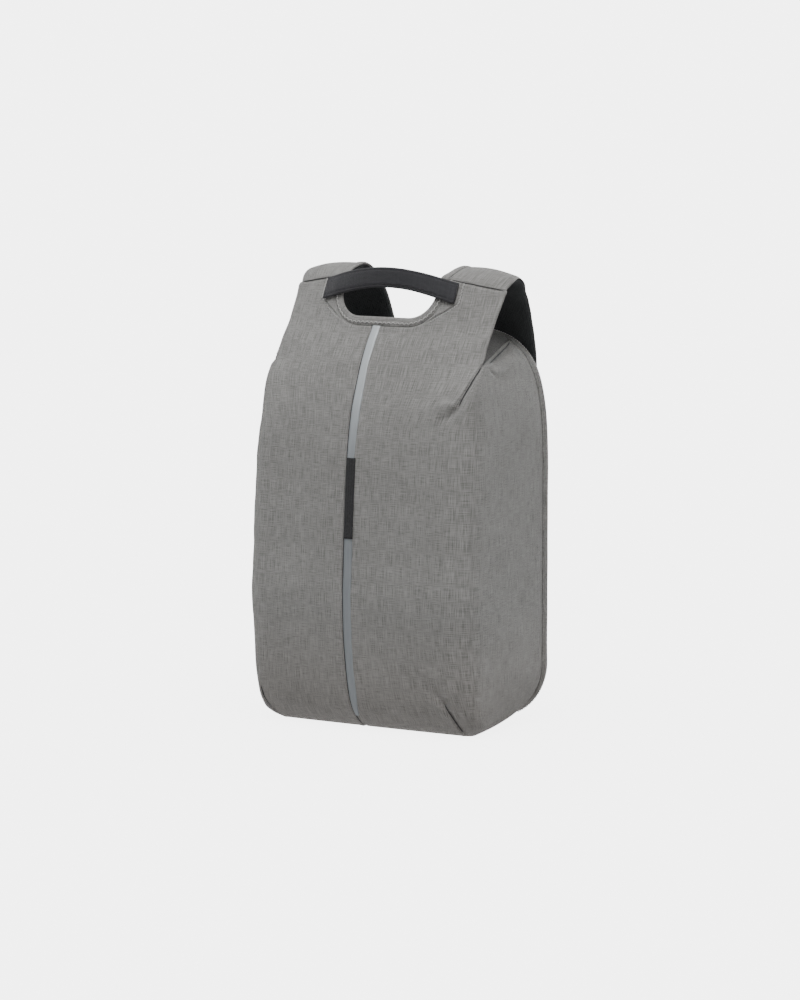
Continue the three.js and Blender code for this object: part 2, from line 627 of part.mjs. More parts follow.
function grabHandle() {
  const steps = 18;
  const rings = [];
  const endX = HANDLE_SPAN / 2;
  const seat = bibPoint(endX, HANDLE_END_HEIGHT);
  const above = bibPoint(endX, HANDLE_END_HEIGHT + HANDLE_WIDTH / 2);
  const below = bibPoint(endX, HANDLE_END_HEIGHT - HANDLE_WIDTH / 2);
  const tilt = Math.atan2(above.y - below.y, above.z - below.z);
  const lift = BINDING_RAISE + HANDLE_SEAT + HANDLE_WALL / 2;
  for (let i = 0; i <= steps; i++) {
    const u = (2 * i) / steps - 1;
    const rise = (1 - u * u) ** 1.5;
    const angle = tilt * (1 - HANDLE_TURN * rise);
    const across = new THREE.Vector3(0, Math.sin(angle), Math.cos(angle));
    const out = new THREE.Vector3(0, -Math.cos(angle), Math.sin(angle));
    const bow = HANDLE_BOW * (1 - u * u);
    const centre = new THREE.Vector3(u * endX, seat.y - bow, seat.z + HANDLE_RISE * rise);
    centre.addScaledVector(out, lift);
    const ring = HANDLE_SECTION.map(([wide, thick]) => {
      const p = centre.clone().addScaledVector(across, wide * HANDLE_WIDTH);
      return p.addScaledVector(out, thick * HANDLE_WALL);
    });
    rings.push(ring);
  }
  return ringSolid(rings.reverse());
}

// Adjusters and webbing below the strap's end, hidden behind the back panel
const lastStation = strapEdges.length - 1;
const strapEnd = strapPoint(lastStation, strapWidth(lastStation) / 2);
const wrap = ADJUSTER_BAR / 2 + 1.1; // inner radius of webbing turned round a bar
const adjusterTop = strapEnd.z - ADJUSTER_DROP; // height of the middle of its top bar
const adjusterY = strapEnd.y - wrap + 2 * SEAM_GAP;
const barPitch = (ADJUSTER_LENGTH - ADJUSTER_BAR) / 2;

const rectangle = (half, low, high) =>
  [[-half, low], [half, low], [half, high], [-half, high]].map(([x, y]) => new THREE.Vector2(x, y));

function adjuster(side) {
  const [w, h] = [ADJUSTER_WIDTH / 2, ADJUSTER_LENGTH / 2];
  const frame = new THREE.Shape(rectangle(w, -h, h));
  for (const low of [-h + ADJUSTER_BAR, ADJUSTER_BAR / 2]) {
    const slot = rectangle(w - ADJUSTER_BAR, low, low + barPitch - ADJUSTER_BAR);
    frame.holes.push(new THREE.Path(slot));
  }
  const body = new THREE.ExtrudeGeometry(frame, { depth: ADJUSTER_WALL, bevelEnabled: false });
  body.translate(0, 0, -ADJUSTER_WALL / 2).rotateX(Math.PI / 2);
  return body.translate(side * strapEnd.x, adjusterY, adjusterTop - barPitch);
}

// A flat ribbon along [x, y, z] points, with its wall on the left of the way it runs
function ribbon(path, side, width, thickness) {
  const rows = path.map(([x, y, z]) => [-0.5, 0.5].map((t) => new THREE.Vector3(side * x + t * width, y, z)));
  return wall([grid(rows)], thickness, 0);
}

// Points of a half turn round a bar at y, z, from back to front. under is 1 below the bar and -1 above it.
function turnRound(x, y, z, under) {
  return Array.from({ length: 7 }, (_, i) => {
    const angle = (i / 6) * Math.PI;
    return [x, y + wrap * Math.cos(angle), z - under * wrap * Math.sin(angle)];
  });
}

function strapLoop(side) {
  const x = strapEnd.x;
  const higher = strapPoint(lastStation - 1, strapWidth(lastStation - 1) / 2);
  const sewn = strapEnd.clone().lerp(higher, LOOP_SEWN / strapEnd.distanceTo(higher));
  const path = [
    [x, sewn.y + 3 * SEAM_GAP, sewn.z],
    [x, strapEnd.y + 2 * SEAM_GAP, strapEnd.z],
    ...turnRound(x, adjusterY, adjusterTop, 1),
    [x, adjusterY - wrap, adjusterTop + LOOP_TURNED],
  ];
  return ribbon(path, side, WEBBING_WIDTH, WEBBING_WALL);
}

const tabX = 0.64 * HALF_WIDTH;
const tabY = BACK_Y + padBack + SEAM_GAP;
function webbing(side) {
  const x = strapEnd.x;
  const barZ = adjusterTop - barPitch;
  const down = [
    [0.15, 0.04], [0.4, 0.22], [0.6, 0.52], [0.76, 0.82], [0.88, 0.97],
  ].map(([fall, back]) => [
    lerp(x, tabX, fall),
    lerp(adjusterY - wrap, tabY + TAB_WALL + SEAM_GAP + WEBBING_WALL, back),
    lerp(barZ, TAB_BASE + 0.75 * TAB_TUCK, fall),
  ]);
  const flat = tabY + TAB_WALL + SEAM_GAP + WEBBING_WALL;
  const path = [
    [x, adjusterY + wrap, barZ - ADJUSTER_LENGTH / 2 - FREE_END],
    ...turnRound(x, adjusterY, barZ, -1),
    ...down,
    [tabX, flat, TAB_BASE + TAB_TUCK],
  ];
  return ribbon(path.reverse(), side, WEBBING_WIDTH, WEBBING_WALL);
}

function anchorTab(side) {
  const plate = new THREE.BoxGeometry(TAB_WIDTH, TAB_WALL, TAB_LENGTH);
  return plate.translate(side * tabX, tabY + TAB_WALL / 2, TAB_BASE + TAB_LENGTH / 2);
}

const group = new THREE.Group();
function add(name, geometry, material) {
  const mesh = new THREE.Mesh(geometry, materials[material]);
  mesh.name = name;
  group.add(mesh);
}

for (const [word, side] of [["right", 1], ["left", -1]]) {
  add("shell_" + word, shellHalf(side), "grey_fabric");
  add("strap_cover_" + word, strapCover(side), "grey_fabric");
  add("strap_pad_" + word, strapPad(side), "black_mesh");
  add("strap_loop_" + word, strapLoop(side), "black_webbing");
  add("adjuster_" + word, adjuster(side), "black_plastic");
  add("webbing_" + word, webbing(side), "black_webbing");
  add("anchor_tab_" + word, anchorTab(side), "black_fabric");
}
add("top_gusset", topGusset(), "grey_fabric");
add("reflective_strip", reflectiveStrip(), "reflective");
add("label_tab", labelTab(), "label");
add("neck_binding", neckBinding(), "grey_fabric");
add("grab_handle", grabHandle(), "black_fabric");
add("piping", piping(), "grey_fabric");
add("rim_band", rimBand(), "grey_fabric");
add("back_panel", backPanel(), "black_mesh");
add("base_panel", basePanel(), "grey_fabric");

export default group;
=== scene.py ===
import math
import bmesh
import bpy
import numpy as np
from mathutils.kdtree import KDTree
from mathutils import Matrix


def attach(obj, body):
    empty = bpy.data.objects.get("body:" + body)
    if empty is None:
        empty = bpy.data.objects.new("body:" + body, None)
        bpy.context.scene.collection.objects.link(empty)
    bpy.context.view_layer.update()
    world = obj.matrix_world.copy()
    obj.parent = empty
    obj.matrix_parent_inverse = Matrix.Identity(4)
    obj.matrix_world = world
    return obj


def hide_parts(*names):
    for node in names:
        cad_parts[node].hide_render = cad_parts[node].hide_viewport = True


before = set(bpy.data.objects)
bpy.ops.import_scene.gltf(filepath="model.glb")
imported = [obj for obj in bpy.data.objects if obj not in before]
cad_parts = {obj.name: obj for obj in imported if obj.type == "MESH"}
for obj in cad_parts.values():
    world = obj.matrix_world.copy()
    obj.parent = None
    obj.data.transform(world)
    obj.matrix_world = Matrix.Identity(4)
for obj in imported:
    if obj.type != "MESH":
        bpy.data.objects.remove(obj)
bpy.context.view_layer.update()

# Sizes in millimetres, in the frame of the solids: +Z up, front towards -Y
BACK_Y = 66.5
BODY_HEIGHT = 446.0
HALF_WIDTH, HALF_BACK = 147.0, 143.5
BACK_CORNER, ARCH_HEIGHT, ARCH_POWER = 66.0, 196.0, 4.1
ARMHOLE, SHOULDER, SHOULDER_X, DROP = 415.0, 507.0, 134.4, 11.0
NECK_Z, NECK_HALF, NECK_R, BINDING = 454.5, 70.5, 38.0, 9.0
SEAM_X = -11.0
RIDGE_Z = 434.0
SIDE_POWER, FOOT_POWER, FOOT_HEIGHT = 2.7, 1.6, 100.0
FRONT_POWER, SIDE_BULGE, RIDGE_BULGE = 2.5, 1.5, 2.2
SIDES = ((1, "right"), (-1, "left"))

# Level sections: height, half width, depth at the corner, depth in the middle, reach of the corner
FRONT = np.array([
    [0.0, 126.0, 131.4, 133.4, 8.8],
    [5.0, 134.9, 139.4, 143.5, 12.8],
    [14.1, 144.1, 146.8, 153.9, 15.3],
    [27.8, 145.2, 156.6, 164.0, 18.5],
    [48.1, 146.4, 164.0, 171.3, 23.2],
    [75.1, 146.9, 169.8, 176.6, 26.9],
    [110.0, 147.0, 174.0, 181.0, 30.0],
    [149.8, 147.0, 177.0, 183.0, 30.0],
    [215.0, 147.0, 173.5, 180.1, 30.0],
    [270.2, 146.6, 168.9, 176.4, 30.0],
    [310.0, 146.0, 165.1, 172.9, 29.4],
    [339.9, 144.8, 161.0, 168.5, 29.4],
    [365.2, 142.7, 154.5, 162.5, 20.6],
    [385.1, 140.8, 146.0, 155.0, 10.3],
    [400.1, 138.8, 137.1, 149.0, 4.4],
    [415.0, 136.6, 124.1, 142.6, 2.2],
    [435.2, 134.2, 113.5, 131.2, 2.2],
    [453.6, 133.8, 99.6, 118.6, 2.2],
    [465.6, 134.1, 92.0, 112.9, 2.2],
    [479.4, 135.2, 82.7, 107.6, 2.2],
    [494.1, 136.4, 73.7, 101.0, 2.2],
    [507.0, 136.6, 64.4, 93.7, 2.2],
])
FOOT_X, FOOT_DEPTH = FRONT[FRONT[:, 0] == ARMHOLE][0, 1:3]  # foot of the armhole

# Strap stations on the right: inner edge x, back, z and outer edge x, back, z
STRAP = np.array([
    [63.9, -75.9, 513.6, 137.6, -62.0, 505.5],
    [64.5, -62.0, 517.1, 138.6, -49.0, 510.0],
    [64.7, -45.0, 518.7, 137.2, -34.0, 504.0],
    [64.8, -28.0, 512.6, 132.4, -21.0, 491.8],
    [65.0, -12.1, 499.9, 129.8, -9.0, 479.1],
    [65.0, 4.0, 481.1, 127.0, 4.0, 457.8],
    [65.0, 19.0, 452.2, 122.7, 19.6, 429.9],
    [63.5, 30.0, 421.8, 118.0, 31.5, 403.1],
    [61.0, 36.1, 381.8, 113.5, 38.1, 372.1],
    [58.1, 40.4, 332.1, 109.5, 42.1, 326.0],
    [57.0, 43.6, 279.9, 107.0, 45.0, 276.8],
    [58.9, 45.9, 228.2, 106.0, 47.0, 227.1],
    [66.0, 45.6, 182.0, 103.9, 45.6, 182.0],
])


def pchip(keys, rows, t):
    """Smooth curve through rows of values that never overshoots."""
    keys = np.asarray(keys, float)
    rows = np.asarray(rows, float).reshape(len(keys), -1)
    t = np.asarray(t, float)
    h = np.diff(keys)[:, None]
    d = np.diff(rows, axis=0) / h
    m = np.zeros_like(rows)
    same = d[:-1] * d[1:] > 0
    w1, w2 = 2 * h[1:] + h[:-1], h[1:] + 2 * h[:-1]
    safe = np.where(same, d[:-1] * d[1:], 1.0)
    m[1:-1] = np.where(same, (w1 + w2) * safe / (w1 * d[1:] + w2 * d[:-1] + 1e-300 * ~same), 0.0)
    m[0], m[-1] = d[0], d[-1]
    i = np.clip(np.searchsorted(keys, t, side="right") - 1, 0, len(keys) - 2)
    s = ((t - keys[i]) / (keys[i + 1] - keys[i]))[..., None]
    hh = h[i]
    a, b = rows[i], rows[i + 1]
    return ((1 + 2 * s) * (1 - s) ** 2 * a + s * (1 - s) ** 2 * hh * m[i]
            + s * s * (3 - 2 * s) * b + s * s * (s - 1) * hh * m[i + 1])


def spline(points, t):
    """Catmull-Rom through 3-D points, t from 0 to len(points) - 1."""
    p = np.asarray(points, float)
    p = np.vstack([2 * p[:1] - p[1:2], p, 2 * p[-1:] - p[-2:-1]])
    t = np.asarray(t, float)
    i = np.clip(t.astype(int), 0, len(p) - 4)
    s = (t - i)[:, None]
    a, b, c, d = p[i], p[i + 1], p[i + 2], p[i + 3]
    return 0.5 * (2 * b + (c - a) * s + (2 * a - 5 * b + 4 * c - d) * s ** 2
                  + (3 * b - a - 3 * c + d) * s ** 3)


def front_depth(x, z):
    half, edge, middle = np.moveaxis(pchip(FRONT[:, 0], FRONT[:, 1:4], z), -1, 0)
    return edge + (middle - edge) * (1 - np.minimum(1, np.abs(x / half)) ** FRONT_POWER)


def front(x, z):
    x, z = np.broadcast_arrays(np.asarray(x, float), np.asarray(z, float))
    return np.stack([x, BACK_Y - front_depth(x, z), z], -1)


def front_normal(x, z):
    e = 0.5
    return unit(np.cross(front(x + e, z) - front(x - e, z), front(x, z + e) - front(x, z - e)))


def on_cloth(x, z):
    return front(x, z), front_normal(x, z)


def unit(v):
    return v / (np.linalg.norm(v, axis=-1, keepdims=True) + 1e-12)


def back_half(z):
    """Half width of the back outline at a height."""
    z = np.asarray(z, float)
    dip = BACK_CORNER - np.minimum(z, BACK_CORNER)
    low = HALF_BACK - BACK_CORNER + np.sqrt(np.maximum(0, BACK_CORNER ** 2 - dip ** 2))
    rise = np.clip((z - (BODY_HEIGHT - ARCH_HEIGHT)) / ARCH_HEIGHT, 0, 1)
    high = HALF_BACK * (1 - rise ** ARCH_POWER) ** (1 / ARCH_POWER)
    return np.where(z < BACK_CORNER, low, high)


def arch_height(x):
    return BODY_HEIGHT - ARCH_HEIGHT * (1 - (1 - (np.abs(x) / HALF_BACK) ** ARCH_POWER) ** (1 / ARCH_POWER))


def seam_height(x):
    return SHOULDER - DROP * (x - NECK_HALF) / (SHOULDER_X - NECK_HALF)


def hump(d, width, centre=0.0):
    """A smooth bump of height 1 round a distance."""
    return np.exp(-((d - centre) / width) ** 2)


def ripple(p, size, seed):
    """Gentle undulation of a surface, between about -1 and 1."""
    rng = np.random.RandomState(seed)
    total = np.zeros(p.shape[:-1])
    for _ in range(7):
        k = rng.normal(size=3)
        k *= 2 * math.pi / size * rng.uniform(0.6, 1.5) / np.linalg.norm(k)
        total += np.sin(p @ k + rng.uniform(0, 6.28))
    return total / 3.5


def lengths(points):
    return np.concatenate([[0], np.cumsum(np.linalg.norm(np.diff(points, axis=0), axis=1))])


def resample(path, count):
    s = lengths(path)
    t = np.linspace(0, s[-1], count)
    return np.stack([np.interp(t, s, path[:, k]) for k in range(path.shape[1])], -1)


def weave(u, v):
    """Weave coordinates of a grid from the distances along one row and one column."""
    return np.stack(np.broadcast_arrays(u[None], v[:, None]), -1)


# Meshes
def grid_faces(rows, cols, start=0, flip=False, loop=False, close_cols=False):
    last = rows if loop else rows - 1
    i, j = np.meshgrid(np.arange(last), np.arange(cols if close_cols else cols - 1), indexing="ij")
    i, j = i.ravel(), j.ravel()
    i2, j2 = (i + 1) % rows, (j + 1) % cols
    quad = np.stack([i * cols + j, i * cols + j2, i2 * cols + j2, i2 * cols + j], -1) + start
    return quad[:, ::-1] if flip else quad


def linked(name, data, material=None):
    obj = bpy.data.objects.new(name, data)
    bpy.context.scene.collection.objects.link(obj)
    if material:
        data.materials.append(material)
    return obj


def piece(name, grids, material, weld=0.0):
    """grids is a list of (points [r, c, 3] in mm, uv [r, c, 2] in mm or None, options of grid_faces)."""
    verts, uvs, faces, start = [], [], [], 0
    for points, uv, options in grids:
        r, c = points.shape[:2]
        verts.append(points.reshape(-1, 3))
        uvs.append((uv if uv is not None else arc_uv(points)).reshape(-1, 2))
        faces.append(grid_faces(r, c, start, **options))
        start += r * c
    verts, uvs, faces = np.vstack(verts), np.vstack(uvs), np.vstack(faces)
    mesh = bpy.data.meshes.new(name)
    mesh.vertices.add(len(verts))
    mesh.vertices.foreach_set("co", (verts / 1000).ravel())
    mesh.loops.add(faces.size)
    mesh.loops.foreach_set("vertex_index", faces.ravel())
    mesh.polygons.add(len(faces))
    mesh.polygons.foreach_set("loop_start", np.arange(0, faces.size, 4))
    mesh.update(calc_edges=True)
    layer = mesh.uv_layers.new(name="weave")
    layer.data.foreach_set("uv", uvs[faces.ravel()].ravel())
    mesh.validate()
    if weld:
        bm = bmesh.new()
        bm.from_mesh(mesh)
        bmesh.ops.remove_doubles(bm, verts=bm.verts, dist=weld / 1000)
        bm.to_mesh(mesh)
        bm.free()
    mesh.shade_smooth()
    return linked(name, mesh, material)


def sheet(name, points, material, uv=None, **options):
    """A piece of one grid."""
    return piece(name, [(points, uv, options)], material)


def closed_ends(rings):
    """Adds a first and last ring drawn together to a point, so the tube is closed."""
    first, last = (np.repeat(end.mean(1, keepdims=True), rings.shape[1], 1) for end in (rings[:1], rings[-1:]))
    return np.concatenate([first, rings, last])


def tube(name, rings, material, uv=None, flip=False):
    """A closed skin through rings of points."""
    if uv is not None:
        uv = np.concatenate([uv[:1], uv, uv[-1:]])
    return sheet(name, closed_ends(rings), material, uv, close_cols=True, flip=flip)


def arc_uv(points):
    """Distances in mm along both ways of a grid, for the weave."""
    du = np.linalg.norm(np.diff(points, axis=1), axis=2)
    dv = np.linalg.norm(np.diff(points, axis=0), axis=2)
    u = np.concatenate([np.zeros((len(points), 1)), np.cumsum(du, 1)], 1)
    v = np.concatenate([np.zeros((1, points.shape[1])), np.cumsum(dv, 0)], 0)
    return np.stack([u, v.mean(1, keepdims=True) + 0 * u], -1)


def co_and_normals(obj):
    n = len(obj.data.vertices)
    co, nr = np.empty(n * 3), np.empty(n * 3)
    obj.data.vertices.foreach_get("co", co)
    obj.data.vertices.foreach_get("normal", nr)
    return co.reshape(-1, 3) * 1000, nr.reshape(-1, 3)


def set_co(obj, co):
    obj.data.vertices.foreach_set("co", (co / 1000).ravel())
    obj.data.update()


def stretches(points, co):
    """For each stretch of a line: its number, direction, and each point's share along it and way from it."""
    for i, (a, b) in enumerate(zip(points[:-1], points[1:])):
        ab = b - a
        t = np.clip((co - a) @ ab / (ab @ ab), 0, 1)
        yield i, unit(ab), t, co - (a + t[:, None] * ab)


def crease(co, normals, points, width, depth, step, lip):
    """Displacement along the normal for a sewn or folded crease that follows 3-D points."""
    reach = 6 * max(width)
    near = np.all((co > points.min(0) - reach) & (co < points.max(0) + reach), axis=1)
    n = normals[near]
    best, away, lateral, w, d = (np.full(len(n), first) for first in (1e9, 0.0, 0.0, 1.0, 0.0))
    for i, along, t, off in stretches(points, co[near]):
        height = (off * n).sum(1)
        dist = np.linalg.norm(off - height[:, None] * n, axis=1)
        closer = dist < best
        for kept, value in ((best, dist), (away, height), (lateral, (off * np.cross(along, n)).sum(1)),
                            (w, width[i] * (1 - t) + width[i + 1] * t), (d, depth[i] * (1 - t) + depth[i + 1] * t)):
            kept[closer] = value[closer]
    r = best / w
    shape = -np.exp(-r ** 1.4) + lip * hump(r, 1.3, 2.4) + step * np.tanh(lateral / w * 1.5) * hump(r, 4)
    out = np.zeros(len(co))
    out[near] = d * shape * np.exp(-(away / 9.0) ** 4)
    return out


def applied(obj):
    """Bakes the object's modifiers into its mesh."""
    graph = bpy.context.evaluated_depsgraph_get()
    mesh = bpy.data.meshes.new_from_object(obj.evaluated_get(graph))
    obj.modifiers.clear()
    old = obj.data
    obj.data = mesh
    mesh.name = old.name
    bpy.data.meshes.remove(old)
    return obj


def thicken(obj, thickness, inner=None, share=None):
    """Gives a surface a wall. share is each point's part of the thickness."""
    mod = obj.modifiers.new("wall", "SOLIDIFY")
    mod.thickness = thickness / 1000
    mod.offset = -1
    mod.use_even_offset = False
    if share is not None:
        group = obj.vertex_groups.new(name="wall")
        group.add(list(range(len(share))), 1.0, "REPLACE")
        for k in np.flatnonzero(share < 1):
            group.add([int(k)], float(share[k]), "REPLACE")
        mod.vertex_group = "wall"
    if inner:
        obj.data.materials.append(inner)
        mod.material_offset = 1
        mod.material_offset_rim = 0
    return applied(obj)


def settle(obj, pressure, limit, voxel=5.0, frames=16):
    """Inflates a copy of a padded piece as cloth and moves the piece's own points along with it."""
    scene = bpy.context.scene
    copy = linked(obj.name + "_cloth", obj.data.copy())
    remesh = copy.modifiers.new("even", "REMESH")
    remesh.mode = "VOXEL"
    remesh.voxel_size = voxel / 1000
    applied(copy)
    rest, _ = co_and_normals(copy)
    cloth = copy.modifiers.new("cloth", "CLOTH")
    stiffness = {"mass": 0.25, "bending_stiffness": 0.3, "tension_stiffness": 12, "compression_stiffness": 8}
    for key, value in {"quality": 4, **stiffness, "use_pressure": True, "uniform_pressure_force": pressure}.items():
        setattr(cloth.settings, key, value)
    cloth.settings.effector_weights.gravity = 0
    cloth.point_cache.frame_start, cloth.point_cache.frame_end = 1, frames
    for k in range(1, frames + 1):
        scene.frame_set(k)
    applied(copy)
    moved, _ = co_and_normals(copy)
    scene.frame_set(1)
    shift = moved - rest
    shift -= shift.mean(0)
    tree = KDTree(len(rest))
    for k, point in enumerate(rest):
        tree.insert(point, k)
    tree.balance()
    co, _ = co_and_normals(obj)
    near = [[i for _, i, _ in tree.find_n(point, 6)] for point in co]
    shift = shift[np.array(near)].mean(1)
    size = np.linalg.norm(shift, axis=1, keepdims=True) + 1e-9
    set_co(obj, co + shift / size * limit * np.tanh(size / limit))
    mesh = copy.data
    bpy.data.objects.remove(copy)
    bpy.data.meshes.remove(mesh)
    return obj


def place(obj, nodes):
    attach(obj, "root")
    if nodes:
        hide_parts(*nodes)
    return obj


# Materials
class Tree:
    """A material's nodes, with a method for each kind that the looks below use."""

    def __init__(self, name):
        self.material = bpy.data.materials.new(name)
        self.material.use_nodes = True
        self.nodes = self.material.node_tree.nodes
        self.links = self.material.node_tree.links
        self.shader = self.nodes["Principled BSDF"]

    def put(self, socket, value):
        if hasattr(value, "is_output"):
            self.links.new(value, socket)
        else:
            socket.default_value = value

    def node(self, kind, inputs=(), out=0, **settings):
        node = self.nodes.new(kind)
        for key, value in settings.items():
            setattr(node, key, value)
        for key, value in dict(inputs).items():
            self.put(node.inputs[key], value)
        return node.outputs[out]

    def math(self, op, a, b=0.0, c=0.0):
        return self.node("ShaderNodeMath", {0: a, 1: b, 2: c}, operation=op)

    def scaled(self, vector, x, y):
        return self.node("ShaderNodeVectorMath", {0: vector, 1: (x, y, 1.0)}, operation="MULTIPLY")

    def noise(self, vector, scale=1.0, detail=2.0):
        return self.node("ShaderNodeTexNoise", {"Vector": vector, "Scale": scale, "Detail": detail, "Roughness": 0.5})

    def weave_uv(self):
        return self.node("ShaderNodeUVMap", uv_map="weave")

    def where(self):
        return self.node("ShaderNodeTexCoord", out=3)

    def axes(self, vector):
        node = self.nodes.new("ShaderNodeSeparateXYZ")
        self.links.new(vector, node.inputs[0])
        return list(node.outputs)

    def wave(self, value, pitch):
        return self.math("SINE", self.math("MULTIPLY", value, 2 * math.pi / pitch))

    def ramp(self, value, start, stop, end=1.0):
        return self.node("ShaderNodeMapRange", {"Value": value, "From Min": start, "From Max": stop,
                                                "To Min": 0.0, "To Max": end})

    def mix(self, factor, a, b):
        node = self.nodes.new("ShaderNodeMix")
        node.data_type = "RGBA"
        for index, value in ((0, factor), (6, a), (7, b)):
            self.put(node.inputs[index], value)
        return node.outputs[2]

    def bump(self, height, distance, strength):
        return self.node("ShaderNodeBump", {"Height": height, "Distance": distance / 1000, "Strength": strength})

    def finish(self, **inputs):
        for key, value in inputs.items():
            self.put(self.shader.inputs[key.replace("_", " ")], value)
        return self.material


def rgb(r, g, b):
    """sRGB 0-255 to linear RGBA."""
    def one(v):
        v /= 255
        return v / 12.92 if v <= 0.04045 else ((v + 0.055) / 1.055) ** 2.4
    return (one(r), one(g), one(b), 1.0)


def tone(color, share):
    """A darker or lighter version of a colour."""
    return tuple(min(1, c * share) for c in color[:3]) + (1.0,)


def cloth(name, dark, light, slub=0.55, sheen=0.25, contrast=1.0, warm=None):
    """Woven cloth with uneven yarns: streaks along both thread directions over a fine weave.

    warm is a second pair of colours that takes over towards the floor.
    """
    pitch, rough = 0.62, 0.88
    # patch size along u and v in mm, and how strongly the layer shows
    layers = {"warp": (slub, slub * 32, 1.8), "weft": (slub * 24, slub, 1.5), "grain": (0.6, 0.6, 0.5),
              "streak": (1.1, 42, 0.64), "cross": (22, 1.1, 0.44)}
    t = Tree(name)
    uv = t.weave_uv()
    fac, noise = 0.5, {}
    for key, (along_u, along_v, gain) in layers.items():
        noise[key] = t.noise(t.scaled(uv, 1 / along_u, 1 / along_v), detail=1.0)
        gain *= contrast
        fac = t.math("ADD", t.math("MULTIPLY_ADD", noise[key], gain, -gain / 2), fac)
    cloud = t.noise(t.scaled(uv, 1 / 70, 1 / 90))
    fac = t.math("ADD", fac, t.math("MULTIPLY_ADD", cloud, 0.3, -0.15))
    fac = t.node("ShaderNodeClamp", {"Value": fac})
    color = t.mix(fac, dark, light)
    if warm:
        low = t.ramp(t.axes(t.where())[2], 0.14, 0.0, 0.75)
        color = t.mix(low, color, t.mix(fac, *warm))
    u, v, _ = t.axes(uv)
    threads = t.math("MULTIPLY", t.wave(u, pitch), t.wave(v, pitch))
    height = t.math("ADD", t.math("MULTIPLY", threads, 0.5), t.math("ADD", noise["warp"], noise["weft"]))
    return t.finish(Base_Color=color, Roughness=t.math("MULTIPLY_ADD", noise["grain"], 0.12, rough - 0.06),
                    Normal=t.bump(height, 0.25, 0.8), Sheen_Weight=sheen, Sheen_Roughness=0.45,
                    Specular_IOR_Level=0.25)


def mesh_cloth(name, color, pitch=2.6):
    """Padded spacer mesh: small round holes in a dark knit."""
    t = Tree(name)
    uv = t.weave_uv()
    cells = t.node("ShaderNodeTexVoronoi", {"Vector": t.scaled(uv, 1 / pitch, 1 / (pitch * 0.8)), "Scale": 1.0,
                                            "Randomness": 0.25}, feature="F1")
    hole = t.ramp(cells, 0.18, 0.42)
    grain = t.noise(t.scaled(uv, 2.2, 2.2))
    knit = t.math("MULTIPLY", hole, t.math("MULTIPLY_ADD", grain, 0.6, 0.65))
    return t.finish(Base_Color=t.mix(knit, tone(color, 0.3), color), Roughness=0.9,
                    Normal=t.bump(hole, 0.5, 0.7), Sheen_Weight=0.12, Specular_IOR_Level=0.2)


def webbing_cloth(name, color):
    """Ribbed webbing: ridges across its length, finer lines along it."""
    t = Tree(name)
    uv = t.weave_uv()
    u, v, _ = t.axes(uv)
    height = t.math("ADD", t.wave(v, 1.5), t.math("MULTIPLY", t.wave(u, 3.0), 0.5))
    grain = t.noise(t.scaled(uv, 1.8, 1.8))
    shade = t.math("MULTIPLY_ADD", height, 0.2, t.math("MULTIPLY", grain, 0.6))
    return t.finish(Base_Color=t.mix(shade, color, tone(color, 1.7)), Roughness=0.8,
                    Normal=t.bump(height, 0.3, 0.7), Sheen_Weight=0.1)


def tape(name):
    """Reflective tape: fine glass beads on grey, a little worn, with painted light that makes its upper part lighter.
    """
    t = Tree(name)
    uv = t.weave_uv()
    beads = t.noise(t.scaled(uv, 3.0, 3.0))
    wear = t.noise(t.scaled(uv, 1 / 6, 1 / 40), detail=3.0)
    fac = t.math("MULTIPLY_ADD", beads, 0.6, t.math("MULTIPLY_ADD", wear, 0.7, -0.15))
    low = t.mix(fac, rgb(112, 116, 120), rgb(138, 143, 147))
    high = t.mix(fac, rgb(149, 154, 157), rgb(177, 182, 185))
    # painted light: the tape turns lighter between about 0.28 m and 0.40 m of height, as where more light falls on
    # the upper front
    color = t.mix(t.ramp(t.axes(t.where())[2], 0.28, 0.40), low, high)
    return t.finish(Base_Color=color, Roughness=t.math("MULTIPLY_ADD", wear, 0.2, 0.35), Metallic=0.15,
                    Normal=t.bump(beads, 0.08, 0.5), Coat_Weight=0.15, Coat_Roughness=0.4)


def moulded(name, color):
    t = Tree(name)
    grain = t.noise(t.where(), scale=900.0)
    cloud = t.noise(t.where(), scale=60.0, detail=3.0)
    return t.finish(Base_Color=t.mix(t.math("MULTIPLY", cloud, 0.6), color, tone(color, 1.5)),
                    Roughness=t.math("MULTIPLY_ADD", cloud, 0.2, 0.38), Normal=t.bump(grain, 0.05, 0.4))


def thread(name, color):
    t = Tree(name)
    u, v, _ = t.axes(t.weave_uv())
    twist = t.math("SINE", t.math("MULTIPLY", t.math("ADD", u, v), 9.0))
    return t.finish(Base_Color=t.mix(t.math("MULTIPLY_ADD", twist, 0.35, 0.5), tone(color, 0.7), color),
                    Roughness=0.7, Sheen_Weight=0.2, Normal=t.bump(twist, 0.1, 0.5))


GREY = cloth("grey_melange", rgb(100, 99, 97), rgb(148, 147, 145),
             warm=(rgb(103, 99, 96), rgb(151, 146, 142)))
# painted shade: a darker copy of the grey cloth for the top gusset, which lies in shade under the bib, the straps and
# the ridge
GREY_PAINTED_SHADE = cloth("grey_painted_shade", rgb(76, 76, 75), rgb(112, 111, 110))
LINING = cloth("black_lining", rgb(20, 22, 22), rgb(34, 36, 36), sheen=0.05)
CHARCOAL = cloth("charcoal_canvas", rgb(42, 42, 45), rgb(61, 61, 64), slub=0.7, sheen=0.12, contrast=0.35)
MESH = mesh_cloth("spacer_mesh", rgb(62, 65, 66))
WEBBING = webbing_cloth("ribbed_webbing", rgb(26, 27, 28))
TAPE = tape("reflective_tape")
LABEL = webbing_cloth("woven_label", rgb(18, 19, 21))
PLASTIC = moulded("moulded_plastic", rgb(26, 27, 29))
THREAD_LIGHT = thread("light_thread", rgb(188, 187, 185))
THREAD_PALE = thread("pale_thread", rgb(200, 199, 197))
# painted shadow: the dark colour of the tubes that stand for the shade in the bottom of seams and darts
SEAM_SHADOW_DARK = thread("painted_seam_shadow", rgb(42, 42, 44))


